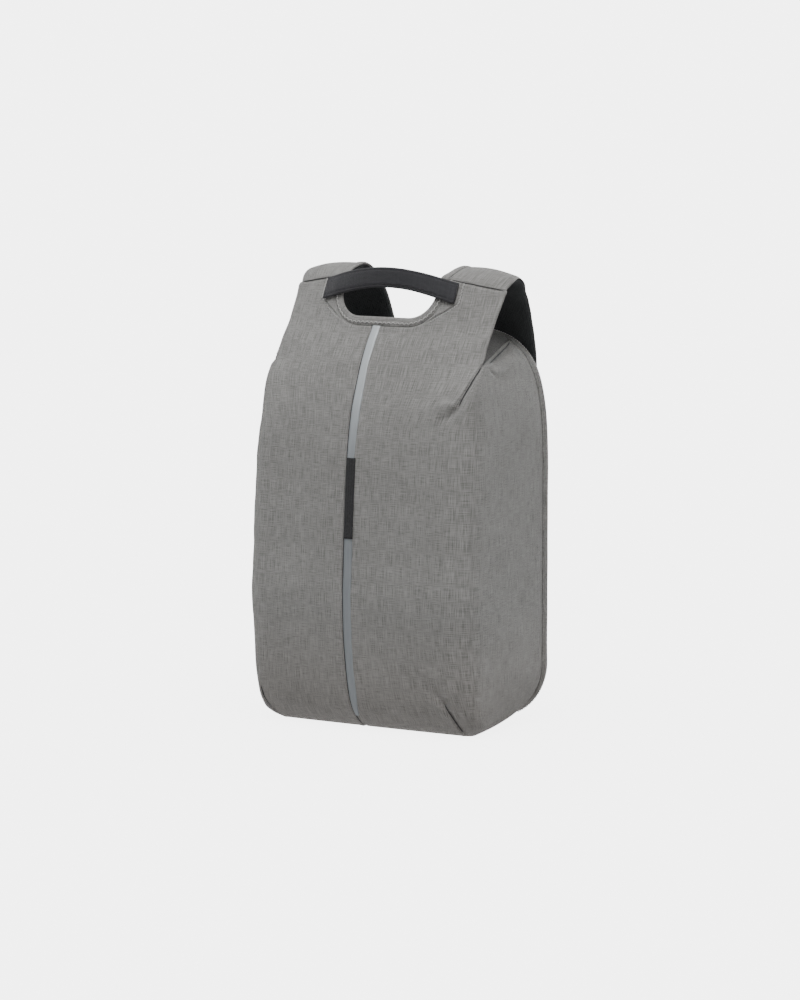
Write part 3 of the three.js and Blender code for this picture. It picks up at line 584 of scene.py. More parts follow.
# Creases and sewn darts of a shell half: points x, back, z; widths; depths; step; lip
def on_front(*points):
    return [(x, -float(front_depth(np.float64(x), np.float64(z))), z) for x, z in points]


DART = on_front((133.9, 416.1), (132.6, 409.4), (129.2, 395.8), (124.7, 382.9), (123.1, 377.6), (121.7, 372.5))
BASE_DART = on_front((118.8, 2.0), (121.4, 4.8), (118.0, 19.4), (116.0, 26.9), (113.3, 32.3), (110.2, 42.2))
FACING = on_front((87.5, 503.0), (87.5, 492.0), (87.0, 481.0), (83.0, 477.5), (76.5, 472.5), (66.8, 466.6),
                  (58.0, 460.7), (50.0, 457.3))
RIDGE_VALLEY = [(134.0, -108, 412.5), (132, -95, 414.0), (127.6, -78, 416.2), (123, -60.5, 418.6), (117, -39, 422),
                (111, -18, 425.5)]
NEAR_ARMHOLE = [(135.6, -114, 410.5), (136.6, -107, 405.5), (137.6, -99, 401)]
SHARED_CREASES = [
    (RIDGE_VALLEY, [2.4, 3.6, 4.8, 5.4, 5.6, 5.0], [0.3, 4.0, 6.0, 5.6, 3.8, 0.6], 0.0, 0.3),
    (FACING, [0.8, 0.8, 0.8, 0.7, 0.7, 0.7, 0.8, 0.9], [0.7, 0.8, 1.2, 1.3, 1.2, 1.1, 0.9, 0.1], 0.25, 0.2),
]
BASE_DARTS = {
    "right": BASE_DART,
    "left": on_front((120.0, 1.0), (124.0, 6.0), (130.0, 16.0), (133.0, 26.0), (134.0, 34.0), (134.2, 41.0)),
}
CREASES = {
    "right": SHARED_CREASES + [
        (NEAR_ARMHOLE, [1.6, 2.0, 3.0], [0.2, 1.1, 0.1], 0.3, 0.6),
        (BASE_DART, [1.1, 1.2, 1.4, 1.8, 2.4, 3.4], [1.6, 2.2, 2.5, 2.8, 3.0, 1.0], -0.3, 0.3),
        (on_front((110.2, 42.2), (104.1, 50.0), (98.0, 57.0)), [3.4, 5.5, 8.0], [2.0, 1.5, 0.1], -0.3, 0.5),
        (DART, [1.2, 1.2, 1.2, 1.3, 1.5, 1.7], [1.4, 2.2, 2.4, 2.4, 2.0, 0.5], 0.4, 0.25),
        (on_front((123.1, 377.6), (120.6, 371.0), (112.6, 364.4), (102.0, 355.2), (94.0, 348.0)),
         [1.6, 2.8, 4.6, 7.0, 8.0], [0.3, 1.9, 2.4, 1.3, 0.1], 0.8, 0.6),
    ],
    "left": SHARED_CREASES + [
        (BASE_DARTS["left"], [0.8, 0.8, 0.9, 1.0, 1.3, 2.2], [1.2, 1.8, 2.0, 2.0, 1.8, 0.6], 0.0, 0.25),
        ([(134.4, -124, 415), (137.5, -128, 405), (140.2, -127, 393), (141.8, -124, 380)], [0.9, 1.2, 1.8, 2.6],
         [1.2, 1.8, 1.8, 0.2], 0.0, 0.3),
    ],
}


def refine(obj, lines, radius):
    """Subdivides the faces that lie near some lines, so that a narrow groove has points to follow."""
    bm = bmesh.new()
    bm.from_mesh(obj.data)
    centres = np.array([f.calc_center_median() for f in bm.faces]) * 1000
    near = np.zeros(len(centres), bool)
    for line in lines:
        for *_, off in stretches(line, centres):
            near |= np.linalg.norm(off, axis=1) < radius
    bm.faces.ensure_lookup_table()
    edges = {e for i in np.flatnonzero(near) for e in bm.faces[i].edges}
    bmesh.ops.subdivide_edges(bm, edges=list(edges), cuts=2, use_grid_fill=True)
    bm.to_mesh(obj.data)
    bm.free()
    obj.data.shade_smooth()


# Front shell
FRONT_COLS, SPLIT, CORNER_COLS, SIDE_COLS = 84, 44, 14, 44  # columns of the grids
RIDGE_ROWS, BIB_ROWS, SHOULDER_ROWS = 10, 26, 30
RIDGE_CLOTH, CLOTH_WALL, TOP_WALL, BAND_WALL, BINDING_WALL = 22, 2.4, 2.0, 0.6, 0.7
TURNED = 1 - 12 / 137.0  # the foot of the cloth is turned under by 12 mm


def pouch_row(z, side, shrink=1.0):
    """One level section of a shell half, from the centre seam over the corner to the back outline."""
    half, corner, middle, reach = pchip(FRONT[:, 0], FRONT[:, 1:], np.array([z]))[0]
    back_x = float(back_half(z))
    x = np.linspace(side * SEAM_X + 0.2, half - reach, FRONT_COLS + 1)
    depth = front_depth(x, np.full_like(x, z))
    power = FOOT_POWER + (SIDE_POWER - FOOT_POWER) * min(1, z / FOOT_HEIGHT)

    def sideways(t):
        return np.stack([half + (back_x - half) * t ** power + SIDE_BULGE * np.sin(np.pi * t), corner * (1 - t)], -1)

    start, end = np.array([x[-1], depth[-1]]), sideways(np.array([reach / corner]))[0]
    t = np.linspace(0, 1, CORNER_COLS + 1)[1:-1, None]
    round_corner = (1 - t) ** 2 * start + 2 * t * (1 - t) * np.array([half, corner]) + t * t * end
    flank = sideways(np.linspace(reach / corner, 1, SIDE_COLS + 1))
    xy = np.vstack([np.stack([x, depth], -1), round_corner, flank])
    return np.stack([side * xy[:, 0] * shrink, BACK_Y - xy[:, 1] * shrink, np.full(len(xy), z)], -1)


def neck_path(inset, count):
    """Points x, z along the edge of the hand hole from its middle to the shoulder, evenly spaced."""
    r = NECK_R - inset
    a = np.linspace(0, math.pi / 2, 40)
    arc = np.stack([NECK_HALF - NECK_R + r * np.sin(a), NECK_Z + NECK_R - r * np.cos(a)], -1)
    return resample(np.vstack([[0, NECK_Z + inset], arc, [NECK_HALF - inset, seam_height(NECK_HALF - inset)]]), count)


def pouch_grid(side):
    """The cloth from its turned-under foot up to the armhole, and its weave coordinates."""
    levels = [np.linspace(0, 60, 40)[:-1], np.linspace(60, 340, 120)[:-1], np.linspace(340, ARMHOLE, 50)]
    foot = [pouch_row(0, side, TURNED), pouch_row(0, side, (1 + TURNED) / 2)]
    pouch = np.array(foot + [pouch_row(z, side) for z in np.concatenate(levels)])
    spine = pouch[:, FRONT_COLS // 2]
    v = lengths(spine)
    v -= np.interp(ARMHOLE, spine[2:, 2], v[2:])
    u_row = np.mean([lengths(row) for row in pouch[::20]], axis=0)
    u_front = pouch[-1, : FRONT_COLS + 1, 0] * side
    u = np.concatenate([u_front, u_front[-1] + u_row[FRONT_COLS + 1:] - u_row[FRONT_COLS]])
    return pouch, u, v


def ridge_grid(lower, side):
    """The cloth above the armhole's level at the side, up to the ridge that rises towards the back."""
    t = ((lower[:, 1] - lower[0, 1]) / (BACK_Y - lower[0, 1]))[:, None]
    low_x, high_x = float(back_half(ARMHOLE)), float(back_half(RIDGE_Z))
    ridge_x = (1 - t[:, 0]) * side * lower[0, 0] + t[:, 0] * high_x
    upper = np.stack([side * ridge_x, lower[:, 1], ARMHOLE + (RIDGE_Z - ARMHOLE) * t[:, 0]], -1)
    k = np.linspace(0, 1, RIDGE_ROWS)[:, None, None]
    bulge = (RIDGE_BULGE * np.sin(np.pi * k) * np.sin(np.pi * t)[None])[..., 0]
    # at the back it follows the arch of the outline, not the chord
    arch = back_half(ARMHOLE + (RIDGE_Z - ARMHOLE) * k) - low_x * (1 - k) - high_x * k
    patch = lower[None] * (1 - k) + upper[None] * k
    patch[..., 0] += side * (bulge + t[None, :, 0] * arch[..., 0])
    patch[..., 2] += bulge
    return patch


def bib_grids(base, side):
    """The x and z of the cloth above the pouch's front, whose top row lies at the x in base.

    One grid goes up to the hand hole and one, from base[SPLIT] outward, up to the shoulder.
    """
    path = neck_path(0, 400)
    turn = int(np.argmin(np.abs(path[:, 0] - (NECK_HALF - NECK_R + NECK_R * math.sin(math.pi / 4)))))
    low = path[: turn + 1].copy()
    low[0, 0] = base[0]
    if base[0] > 0:
        low = np.vstack([[base[0], NECK_Z], low[low[:, 0] > base[0]]])
    low = resample(low, SPLIT + 1)
    r = np.linspace(0, 1, BIB_ROWS)[:, None]
    x = base[None, : SPLIT + 1] * (1 - r) + low[None, :, 0] * r
    z = ARMHOLE * (1 - r) + low[None, :, 1] * r
    inner = np.vstack([np.stack([x[:, -1], z[:, -1]], -1), resample(path[turn:], SHOULDER_ROWS)[1:]])
    share = np.concatenate([np.linspace(0, 0.54, BIB_ROWS), np.linspace(0.54, 1, SHOULDER_ROWS)[1:]])
    outer_z = ARMHOLE + (seam_height(SHOULDER_X) - ARMHOLE) * share
    outer_x = pchip(FRONT[:, 0], FRONT[:, 1], outer_z)[:, 0] - max(side, 0) * 2.5 * np.clip(1 - share * 8, 0, 1)
    outer_x[0] = base[-1]
    w = ((base[SPLIT:] - base[SPLIT]) / (base[-1] - base[SPLIT]))[None]
    return (x, z), (inner[:, :1] * (1 - w) + outer_x[:, None] * w, inner[:, 1:] * (1 - w) + outer_z[:, None] * w)


def shell_half(side, word):
    pouch, u, v = pouch_grid(side)
    flip = {"flip": side < 0}
    grids = [(pouch, weave(side * u, v), flip),
             (ridge_grid(pouch[-1, FRONT_COLS:], side),
              weave(side * u[FRONT_COLS:], RIDGE_CLOTH * np.linspace(0, 1, RIDGE_ROWS)), flip)]
    heights = np.linspace(ARMHOLE, SHOULDER, 60)
    bib_v = lengths(front(np.full(60, 100.0), heights))
    for x, z in bib_grids(pouch[-1, : FRONT_COLS + 1, 0] * side, side):
        uv = np.stack([side * x, np.interp(z, heights, bib_v)], -1)
        grids.append((front(x, z) * [side, 1, 1], uv, flip))
    obj = piece("shell_" + word, grids, GREY, weld=0.02)

    def at(line):
        return np.array(line, float) * [side, 1, 1] + [0, BACK_Y, 0]

    refine(obj, [at(line) for line, width, *_ in CREASES[word] if min(width) < 3], 4.5)
    co, nr = co_and_normals(obj)
    x, d_back, z = np.abs(co[:, 0]), BACK_Y - co[:, 1], co[:, 2]
    move = 0.6 * ripple(co, 95, 3) + 0.25 * ripple(co, 38, 5)
    move *= np.clip(d_back / 12, 0, 1) * np.clip(z / 25, 0, 1)
    for line, width, depth, step, lip in CREASES[word]:
        move += crease(co, nr, at(line), width, depth, step * side, lip)
    # the cloth rolls in at the centre seam, the back seam, the shoulder seam and the hand hole
    d_seam = np.abs(co[:, 0] - SEAM_X)
    d_shoulder = np.where(x > 60, seam_height(x) - z, 99)
    hole = hole_distance(x, z)
    move -= 1.3 * hump(d_seam, 1.6) - (0.5 if side < 0 else 0.0) * hump(d_seam, 2.5, 3)
    move -= 0.7 * hump(d_back, 1.6)
    move -= 0.9 * hump(d_shoulder, 1.5) - 0.3 * hump(d_shoulder, 2, 3.5)
    move -= np.where(z > 440, 0.9 * hump(hole, 1.4) - 0.7 * hump(hole, 2.4, 3.2), 0)
    set_co(obj, co + nr * move[:, None])
    foot = np.array([side * FOOT_X, BACK_Y - FOOT_DEPTH, ARMHOLE])
    thicken(obj, CLOTH_WALL, inner=LINING, share=np.clip(np.linalg.norm(co - foot, axis=1) / 14, 0.1, 1))
    outer_cloth(obj, foot, 9)
    return place(obj, ["shell_" + word])


def outer_cloth(obj, point, radius):
    """Gives all faces round a point the outer cloth, as where its edge is folded in."""
    polygons = obj.data.polygons
    centres, index = np.empty(len(polygons) * 3), np.empty(len(polygons), np.int32)
    polygons.foreach_get("center", centres)
    polygons.foreach_get("material_index", index)
    index[np.linalg.norm(centres.reshape(-1, 3) * 1000 - point, axis=1) < radius] = 0
    polygons.foreach_set("material_index", index)


def hole_distance(x, z):
    """Distance outward from the seam round the hand hole."""
    path = neck_path(0, 160)
    d = np.full(np.shape(x), 1e9)
    near = z > 435
    diff = np.stack([x[near][:, None] - path[None, :, 0], z[near][:, None] - path[None, :, 1]], -1)
    d[near] = np.sqrt((diff ** 2).sum(-1)).min(1)
    return d


for side, word in SIDES:
    shell_half(side, word)


# Top of the pouch
def top_gusset():
    cols, rows = 70, 50
    start_x, end_x = 134.1, float(back_half(RIDGE_Z))
    share = np.linspace(-1, 1, cols)[None]
    t = np.linspace(0, 1, rows)[:, None]
    arch = arch_height(share * end_x) - RIDGE_Z
    front_y = front(share * start_x, ARMHOLE + 1.2 * arch + 2.9)[..., 1] + 4.5
    pts = np.stack(np.broadcast_arrays(
        share * (start_x * (1 - t) + end_x * t),
        front_y * (1 - t) + BACK_Y * t,
        ARMHOLE + (RIDGE_Z - ARMHOLE) * t + arch * (1.2 * (1 - t) + t)), -1)
    pts[..., 2] += 1.4 + 0.8 * ripple(pts, 60, 8) - 1.6 * hump((1 - np.abs(share)) * 130, 3.5)
    pts[..., 2] -= 1.2 * hump(BACK_Y - pts[..., 1], 2.0)
    # the top gusset gets the darker painted-shade copy of the grey cloth
    obj = sheet("top_gusset", pts, GREY_PAINTED_SHADE)
    thicken(obj, TOP_WALL)
    return place(obj, ["top_gusset"])


top_gusset()


# Strip and label beside the centre seam
def front_band(name, z0, z1, left, right, lift, material, taper=0.0, thickness=BAND_WALL):
    z = np.linspace(z0, z1, max(30, int((z1 - z0) / 2)))[:, None]
    w = np.linspace(0, 1, 9)[None]
    ends = np.clip((z - z0) / 45, 0, 1)
    right_edge = left + (right - left) * (1 - taper * (1 - ends) ** 2)
    pts, normals = on_cloth(left + (right_edge - left) * w, z + 0 * w)
    height = lift + 0.5 * (1 - (2 * w - 1) ** 4) - 0.8 * hump((1 - w) * 11, 0.8) * (taper > 0)
    pts = pts + normals * height[..., None]
    pts = pts + normals * (0.18 * ripple(pts, 45, 11))[..., None]
    obj = sheet(name, pts, material)
    thicken(obj, thickness)
    return place(obj, [name])


front_band("reflective_strip", 16.0, 454.0, SEAM_X + 0.5, SEAM_X + 11.0, 0.35, TAPE, taper=0.55)
front_band("label_tab", 220.0, 310.0, SEAM_X + 0.2, SEAM_X + 11.6, 1.4, LABEL, thickness=1.0)


# Shoulder straps
def strap_edges():
    ghost = [front(NECK_HALF - BINDING, 497.0), front(133.0, 484.0)]
    seam = [front(NECK_HALF - BINDING, seam_height(NECK_HALF - BINDING)), front(134.3, seam_height(134.3))]
    inner = [ghost[0], seam[0]] + [np.array([a[0], BACK_Y + a[1], a[2]]) for a in STRAP]
    outer = [ghost[1], seam[1]] + [np.array([a[3], BACK_Y + a[4], a[5]]) for a in STRAP]
    return np.array(inner), np.array(outer)


INNER, OUTER = strap_edges()
STRAP_ROWS = 240
STRAP_CROWN, STRAP_GAP, COVER_WALL = 0.06, 0.4, 1.5
PAD_DROP, PAD_EDGE, PAD_SWELL, PAD_INSET = 2.4, 2.4, 4.4, 1.0


def strap_lines():
    t = np.linspace(1, len(INNER) - 1, 900)
    s = lengths((spline(INNER, t) + spline(OUTER, t)) / 2)
    even = np.linspace(0, s[-1], STRAP_ROWS)
    t = np.interp(even, s, t)
    a, b = spline(INNER, t), spline(OUTER, t)
    along = unit(np.gradient((a + b) / 2, axis=0))
    across = unit(b - a)
    return a, b, unit(np.cross(across, along)), across, even


LINE_A, LINE_B, LINE_UP, LINE_ACROSS, LINE_S = strap_lines()
STRAP_WIDTH = np.linalg.norm(LINE_B - LINE_A, axis=1)[:, None]
STRAP_BINDING = (7.5 + 1.5 * np.exp(-LINE_S / 10))[:, None]


def strap_surface(w):
    """Points on the strap's upper face. w is the distance from the inner edge in mm, [rows, n]."""
    share = w / STRAP_WIDTH
    crown = STRAP_CROWN * STRAP_WIDTH * (1 - (2 * share - 1) ** 2)
    p = LINE_A[:, None] + LINE_ACROSS[:, None] * w[..., None] + LINE_UP[:, None] * crown[..., None]
    # the first row is drawn onto the shoulder seam, and that shift fades along the strap
    x0 = INNER[1][0] + (OUTER[1][0] - INNER[1][0]) * share[:1]
    return p + (front(x0, seam_height(x0)) - p[:1]) * hump(LINE_S, 16.0)[:, None, None]


def strap_cover(side, word):
    w = STRAP_BINDING + STRAP_GAP + (STRAP_WIDTH - STRAP_BINDING - STRAP_GAP) * np.linspace(0, 1, 40)
    up = LINE_UP[:, None]
    top = strap_surface(w)
    edge = hump(STRAP_WIDTH - w, 2.2)[..., None]
    seam = hump(w - STRAP_BINDING, 1.6)[..., None]
    start = hump(LINE_S, 1.6)[:, None, None]
    puff = (0.5 * ripple(top, 70, 21) + 0.25 * ripple(top, 26, 22))[..., None]
    top = top + up * (puff * (1 - start) - 1.0 * edge - 0.8 * seam - 0.8 * start)
    under = top - up * (COVER_WALL - 0.4 * edge)
    a, b, out = top[:, -1:], under[:, -1:], LINE_ACROSS[:, None] * 0.5
    rings = np.concatenate([top, a * 0.7 + b * 0.3 + out, a * 0.3 + b * 0.7 + out, under[:, ::-1]], 1)
    u = np.concatenate([w, w[:, -1:] + [[0.6, 1.0]], w[:, ::-1]], 1)
    uv = np.stack([u * side, LINE_S[:, None] + 0 * u], -1)
    cover = tube("strap_cover_" + word, rings * [side, 1, 1], GREY, uv, side < 0)
    return place(cover, ["strap_cover_" + word])


def strap_pad(side, word):
    across = np.linspace(0, 1, 44)
    w = PAD_INSET + (STRAP_WIDTH - 2 * PAD_INSET) * across
    up = LINE_UP[:, None]
    top = strap_surface(w) - up * PAD_DROP
    swell = PAD_SWELL * (1 - np.abs(2 * across - 1) ** 5)
    deep = PAD_EDGE + swell[None, :, None] + 0.35 * ripple(top, 55, 23)[..., None]
    thin = np.clip((LINE_S[-1] - LINE_S) / 10, 0.25, 1) * np.clip(LINE_S / 8, 0.35, 1)
    under = top - up * (deep * thin[:, None, None])
    out = LINE_ACROSS[:, None] * 0.9
    outer_mid = (top[:, -1:] + under[:, -1:]) / 2 + out
    inner_mid = (top[:, :1] + under[:, :1]) / 2 - out
    rings = np.concatenate([top, outer_mid, under[:, ::-1], inner_mid], 1)[1:]
    u = np.concatenate([w, w[:, -1:] + 2, w[:, ::-1], w[:, :1] - 2], 1)[1:]
    uv = np.stack([u, LINE_S[1:, None] + 0 * u], -1)
    pad = tube("strap_pad_" + word, rings * [side, 1, 1], MESH, uv, side < 0)
    return place(pad, ["strap_pad_" + word])


for side, word in SIDES:
    strap_cover(side, word)
    strap_pad(side, word)


# Binding round the hand hole and along the straps' inner edges
BINDING_COLS = 12


def binding_rows():
    """Points and normals across the binding for each row along the hand hole, on the right half."""
    path_out = neck_path(0, 400)
    w = np.linspace(0, 1, BINDING_COLS)
    rows = []
    for x, z in neck_path(BINDING, 130):
        ox, oz = path_out[int(np.argmin(np.linalg.norm(path_out - [x, z], axis=1)))]
        if x < 1:
            ox = x
        rows.append(on_cloth(x + (ox - x) * w, z + (oz - z) * w))
    return rows


# cross-section of the binding: share of its width, and height in mm
PROFILE = np.array([
    [0.55, -2.3], [0.2, -2.4], [0.02, -1.9], [-0.08, -0.8], [-0.04, 0.3], [0.06, 0.95], [0.2, 1.15], [0.45, 1.1],
    [0.7, 0.9], [0.86, 0.75], [0.97, 0.4], [1.09, -0.9],
])


def profile_ring(points, normals):
    """Wraps the binding's cross-section on a row of surface points."""
    base = np.linspace(0, 1, len(points))
    w = PROFILE[:, 0]
    p = np.stack([np.interp(w, base, points[:, k]) for k in range(3)], -1)
    n = unit(np.stack([np.interp(w, base, normals[:, k]) for k in range(3)], -1))
    step = points[1] - points[0]
    p += (w - np.clip(w, 0, 1))[:, None] * step * (len(points) - 1)
    return p + n * PROFILE[:, 1:2]


def neck_binding():
    rings = [profile_ring(p, n) for p, n in binding_rows()]
    pts = strap_surface(STRAP_BINDING * np.linspace(0, 1, BINDING_COLS))
    up = np.repeat(LINE_UP[:, None], BINDING_COLS, 1)
    right = np.array(rings + [profile_ring(pts[i], up[i]) for i in range(2, STRAP_ROWS)])
    left = right[::-1] * [-1, 1, 1]
    obj = sheet("neck_binding", np.concatenate([left[:-1], right]), GREY)
    thicken(obj, BINDING_WALL)
    return place(obj, ["neck_binding"])


neck_binding()


# Loops round the back outline
FLOOR_GAP = 0.02


def outline(count=360):
    """The back outline's x and z, once round from the middle of the base."""
    a = np.linspace(0, math.pi / 2, 40)
    corner = np.stack([HALF_BACK - BACK_CORNER + BACK_CORNER * np.sin(a), BACK_CORNER - BACK_CORNER * np.cos(a)], -1)
    arch = np.stack([HALF_BACK * np.cos(a) ** (2 / ARCH_POWER),
                     BODY_HEIGHT - ARCH_HEIGHT + ARCH_HEIGHT * np.sin(a) ** (2 / ARCH_POWER)], -1)
    half = np.vstack([[0, 0], corner, arch])
    half[-1] = [0, BODY_HEIGHT]
    line = resample(half, count // 2)
    return np.vstack([line, line[-2:0:-1] * [-1, 1]])


OUTLINE = outline()
ALONG = unit(np.roll(OUTLINE, -1, 0) - np.roll(OUTLINE, 1, 0))
INWARD = np.stack([-ALONG[:, 1], ALONG[:, 0]], -1)


def outline_ring(inset, back):
    """The back outline drawn inward by inset and moved back from the seam's plane."""
    x, z = (OUTLINE + INWARD * inset).T
    return np.stack([x, np.full(len(x), BACK_Y + back), z], -1)


def loop_piece(name, section, wobble=0.0):
    """A loop round the outline. section lists inset and way back along its cross-section."""
    pts = np.stack([outline_ring(inset, back) for inset, back in section], 1)
    pts[..., 2] = np.maximum(pts[..., 2], FLOOR_GAP)
    inward = np.stack([INWARD[:, 0], 0 * INWARD[:, 0], INWARD[:, 1]], -1)[:, None]
    pts = pts + inward * (wobble * ripple(pts, 40, 31) * np.clip(pts[..., 2] / 20, 0, 1))[..., None]
    obj = sheet(name, pts, GREY, loop=True, close_cols=True)
    return place(obj, [name])


PIPING_R = 1.35
PIPING = [(0.55 - PIPING_R * math.cos(a), 1.65 + PIPING_R * math.sin(a))
          for a in np.linspace(0, 2 * math.pi, 13)[:-1]]
RIM = [(15, 12), (12, 12.6), (6, 12.8), (3.0, 12.8), (0.9, 12.3), (-0.5, 10.9), (-1.1, 8.8), (-1.1, 6.2), (-0.7, 4.4),
       (0.6, 3.3), (2.4, 3.2), (3.0, 5.5), (3.4, 8.4), (6, 9.4), (13, 9.4), (15, 10)]
loop_piece("piping", PIPING)
loop_piece("rim_band", RIM, wobble=0.25)


# Padded back panel: inset and way back of its rings, then shrunk rings from PANEL_FLAT on
PANEL = [(2.8, 3.8), (2.6, 6.0), (2.8, 8.6), (15.5, 9.4), (16.2, 9.6), (16.4, 11.5), (17.4, 13.2), (19.5, 14.4),
         (23, 15.2), (29, 15.8), (38, 16.2), (52, 16.4), (70, 16.4), (95, 16.4), (125, 16.4)]
PANEL_FLAT, PANEL_HALF, PANEL_MIDDLE = 20, 143.0, 225.0


def back_panel():
    rings = []
    for inset, back in PANEL:
        ring = outline_ring(min(inset, PANEL_FLAT), back)
        if inset > PANEL_FLAT:
            centre = np.array([0, BACK_Y + back, PANEL_MIDDLE])
            ring = centre + (ring - centre) * (1 - (inset - PANEL_FLAT) / PANEL_HALF)
        rings.append(ring)
    pts = np.array(rings)
    soft = np.clip((pts[..., 1] - BACK_Y - 11) / 4, 0, 1)
    pts[..., 1] += soft * (0.8 * ripple(pts, 120, 41) + 0.3 * ripple(pts, 45, 42))
    pts = closed_ends(pts)
    obj = sheet("back_panel", pts, MESH, pts[..., ::2], close_cols=True, flip=True)
    settle(obj, 4.0, 1.0)
    return place(obj, ["back_panel"])


back_panel()


def base_panel():
    inside = 0.905
    line = np.vstack([pouch_row(0, 1, inside)[::3], pouch_row(0, -1, inside)[::-3]])
    centre = line.mean(0)
    levels = [(0.02, 0.3), (0.5, 0.3), (0.97, 0.3), (0.99, 0.8), (0.99, 2.4), (0.97, 3.0), (0.5, 3.0), (0.02, 3.0)]
    pts = np.array([centre + (line - centre) * share for share, _ in levels])
    pts[..., 2] = np.array([z for _, z in levels])[:, None]
    pts[..., 1] -= 0.4
    obj = sheet("base_panel", pts, GREY, close_cols=True, flip=True)
    return place(obj, ["base_panel"])


base_panel()


# Grab handle
HANDLE_END, HANDLE_Z, HANDLE_WIDTH, HANDLE_HALF_THICK = 85.5, 491.0, 23.0, 2.75
HANDLE_ARCH, HANDLE_FORWARD, HANDLE_LIFT = 16.5, 8, 3.6


def handle_lines(count=90):
    """Along the handle: share of its half length, middle, and the directions across and out."""
    u = np.linspace(-1, 1, count)
    seat = front(HANDLE_END, HANDLE_Z)
    above, below = (front(HANDLE_END, HANDLE_Z + k * HANDLE_WIDTH / 2) for k in (1, -1))
    tilt = math.atan2(above[1] - below[1], above[2] - below[2])
    rise = (1 - u * u) ** 1.25
    angle = tilt * (1 - 0.8 * rise)
    across = np.stack([0 * u, np.sin(angle), np.cos(angle)], -1)
    out = np.stack([0 * u, -np.cos(angle), np.sin(angle)], -1)
    centre = np.stack([u * HANDLE_END, seat[1] - HANDLE_FORWARD * (1 - u * u), seat[2] + HANDLE_ARCH * rise], -1)
    return u, centre + out * HANDLE_LIFT, across, out


def grab_handle():
    u, centre, across, out = handle_lines()
    a = np.linspace(0, 2 * math.pi, 49)[:-1]
    c, s = np.cos(a), np.sin(a)
    wide = HANDLE_WIDTH / 2 * np.sign(c) * np.abs(c) ** 0.42
    broad = 1 + 0.09 * np.clip(np.abs(u) * 1.6 - 0.6, 0, 1) + 0.04 * (u < 0) * np.abs(u)
    thick = HANDLE_HALF_THICK * np.sign(s) * np.abs(s) ** 0.75
    seam = 1 - 0.28 * hump(np.abs(wide), 0.7, 8.6) * (s > 0)
    press = 1 - 0.35 * np.clip((np.abs(u) - 0.8) / 0.15, 0, 1)[:, None]
    puff = 1 + 0.05 * ripple(centre[:, None] + across[:, None] * wide[None, :, None], 30, 51)
    height = thick * seam * press * puff - 0.9 * (1 - press)
    pts = (centre[:, None] + across[:, None] * (broad[:, None] * wide[None])[..., None]
           + out[:, None] * height[..., None])
    uv = weave(1.1 * np.arange(1, 49), u * 95)[..., ::-1]
    obj = tube("grab_handle", pts, CHARCOAL, uv, True)
    return place(obj, ["grab_handle"])


grab_handle()


# Webbing, adjusters and tabs behind the back panel
END = np.array([85.0, BACK_Y + 47.78, 182.0])
WRAP = 3.2
WEB_WIDTH, WEB_THICK = 25, 1.6
ADJ_Z = END[2] - 20
ADJ_Y = END[1] - WRAP + 0.7
ADJ_WIDTH, ADJ_HEIGHT, BAR, BAR_DEEP = 33, 27, 4.2, 4
PITCH = (ADJ_HEIGHT - BAR) / 2
TAB_X, TAB_Y = 0.64 * HALF_WIDTH, BACK_Y + 8.95 + 6 + 0.35
TAB_SIZE, TAB_Z = (36, 2.4, 40), 60


def ribbon(name, path, side, outward=1):
    """A flat webbing along points, with rounded edges."""
    path = resample(np.array(path, float), 90)
    x = np.array([1.0, 0, 0])
    normal = unit(np.cross(x, unit(np.gradient(path, axis=0)))) * outward
    w = np.array([-0.5, -0.48, -0.44, -0.25, 0, 0.25, 0.44, 0.48, 0.5]) * WEB_WIDTH
    top = np.array([0.5, 0.85, 1, 1, 1, 1, 1, 0.85, 0.5])
    upper, lower = (path[:, None] + x * w[None, :, None] + normal[:, None] * (height * WEB_THICK)[None, :, None]
                    for height in (top, 1 - top))
    rings = np.concatenate([upper, lower[:, -2:0:-1]], 1)
    uv = weave(np.concatenate([w, w[-2:0:-1]]), lengths(path))
    obj = tube(name, rings * [side, 1, 1], WEBBING, uv, (side < 0) != (outward < 0))
    return place(obj, [name])


def turn_round(y, z, under):
    a = np.linspace(0, math.pi, 15)
    return np.stack([np.full(15, END[0]), y + WRAP * np.cos(a), z - under * WRAP * np.sin(a)], -1)


def hardware(side, word):
    x = END[0]
    loop = np.vstack([[x, END[1] + 2.2, END[2] + 22], [x, END[1] + 0.7, END[2]], turn_round(ADJ_Y, ADJ_Z, 1),
                      [x, ADJ_Y - WRAP, ADJ_Z + 13]])
    ribbon("strap_loop_" + word, loop, side, outward=-1)
    bar_z = ADJ_Z - PITCH
    flat = TAB_Y + TAB_SIZE[1] + 0.35 + WEB_THICK
    down = [[x + (TAB_X - x) * f, ADJ_Y - WRAP + (flat - ADJ_Y + WRAP) * b, bar_z + (46 - bar_z) * f]
            for f, b in ((0.15, 0.04), (0.4, 0.22), (0.6, 0.52), (0.76, 0.82), (0.88, 0.97))]
    path = np.vstack([[x, ADJ_Y + WRAP, bar_z - 13.5 - 45], turn_round(ADJ_Y, bar_z, -1), down, [TAB_X, flat, 48]])
    ribbon("webbing_" + word, path, side)
    adjuster(side, word)
    centre = (side * TAB_X, TAB_Y + TAB_SIZE[1] / 2, TAB_Z)
    tab = bevelled_box("anchor_tab_" + word, TAB_SIZE, centre, 0.7, CHARCOAL)
    place(tab, ["anchor_tab_" + word])


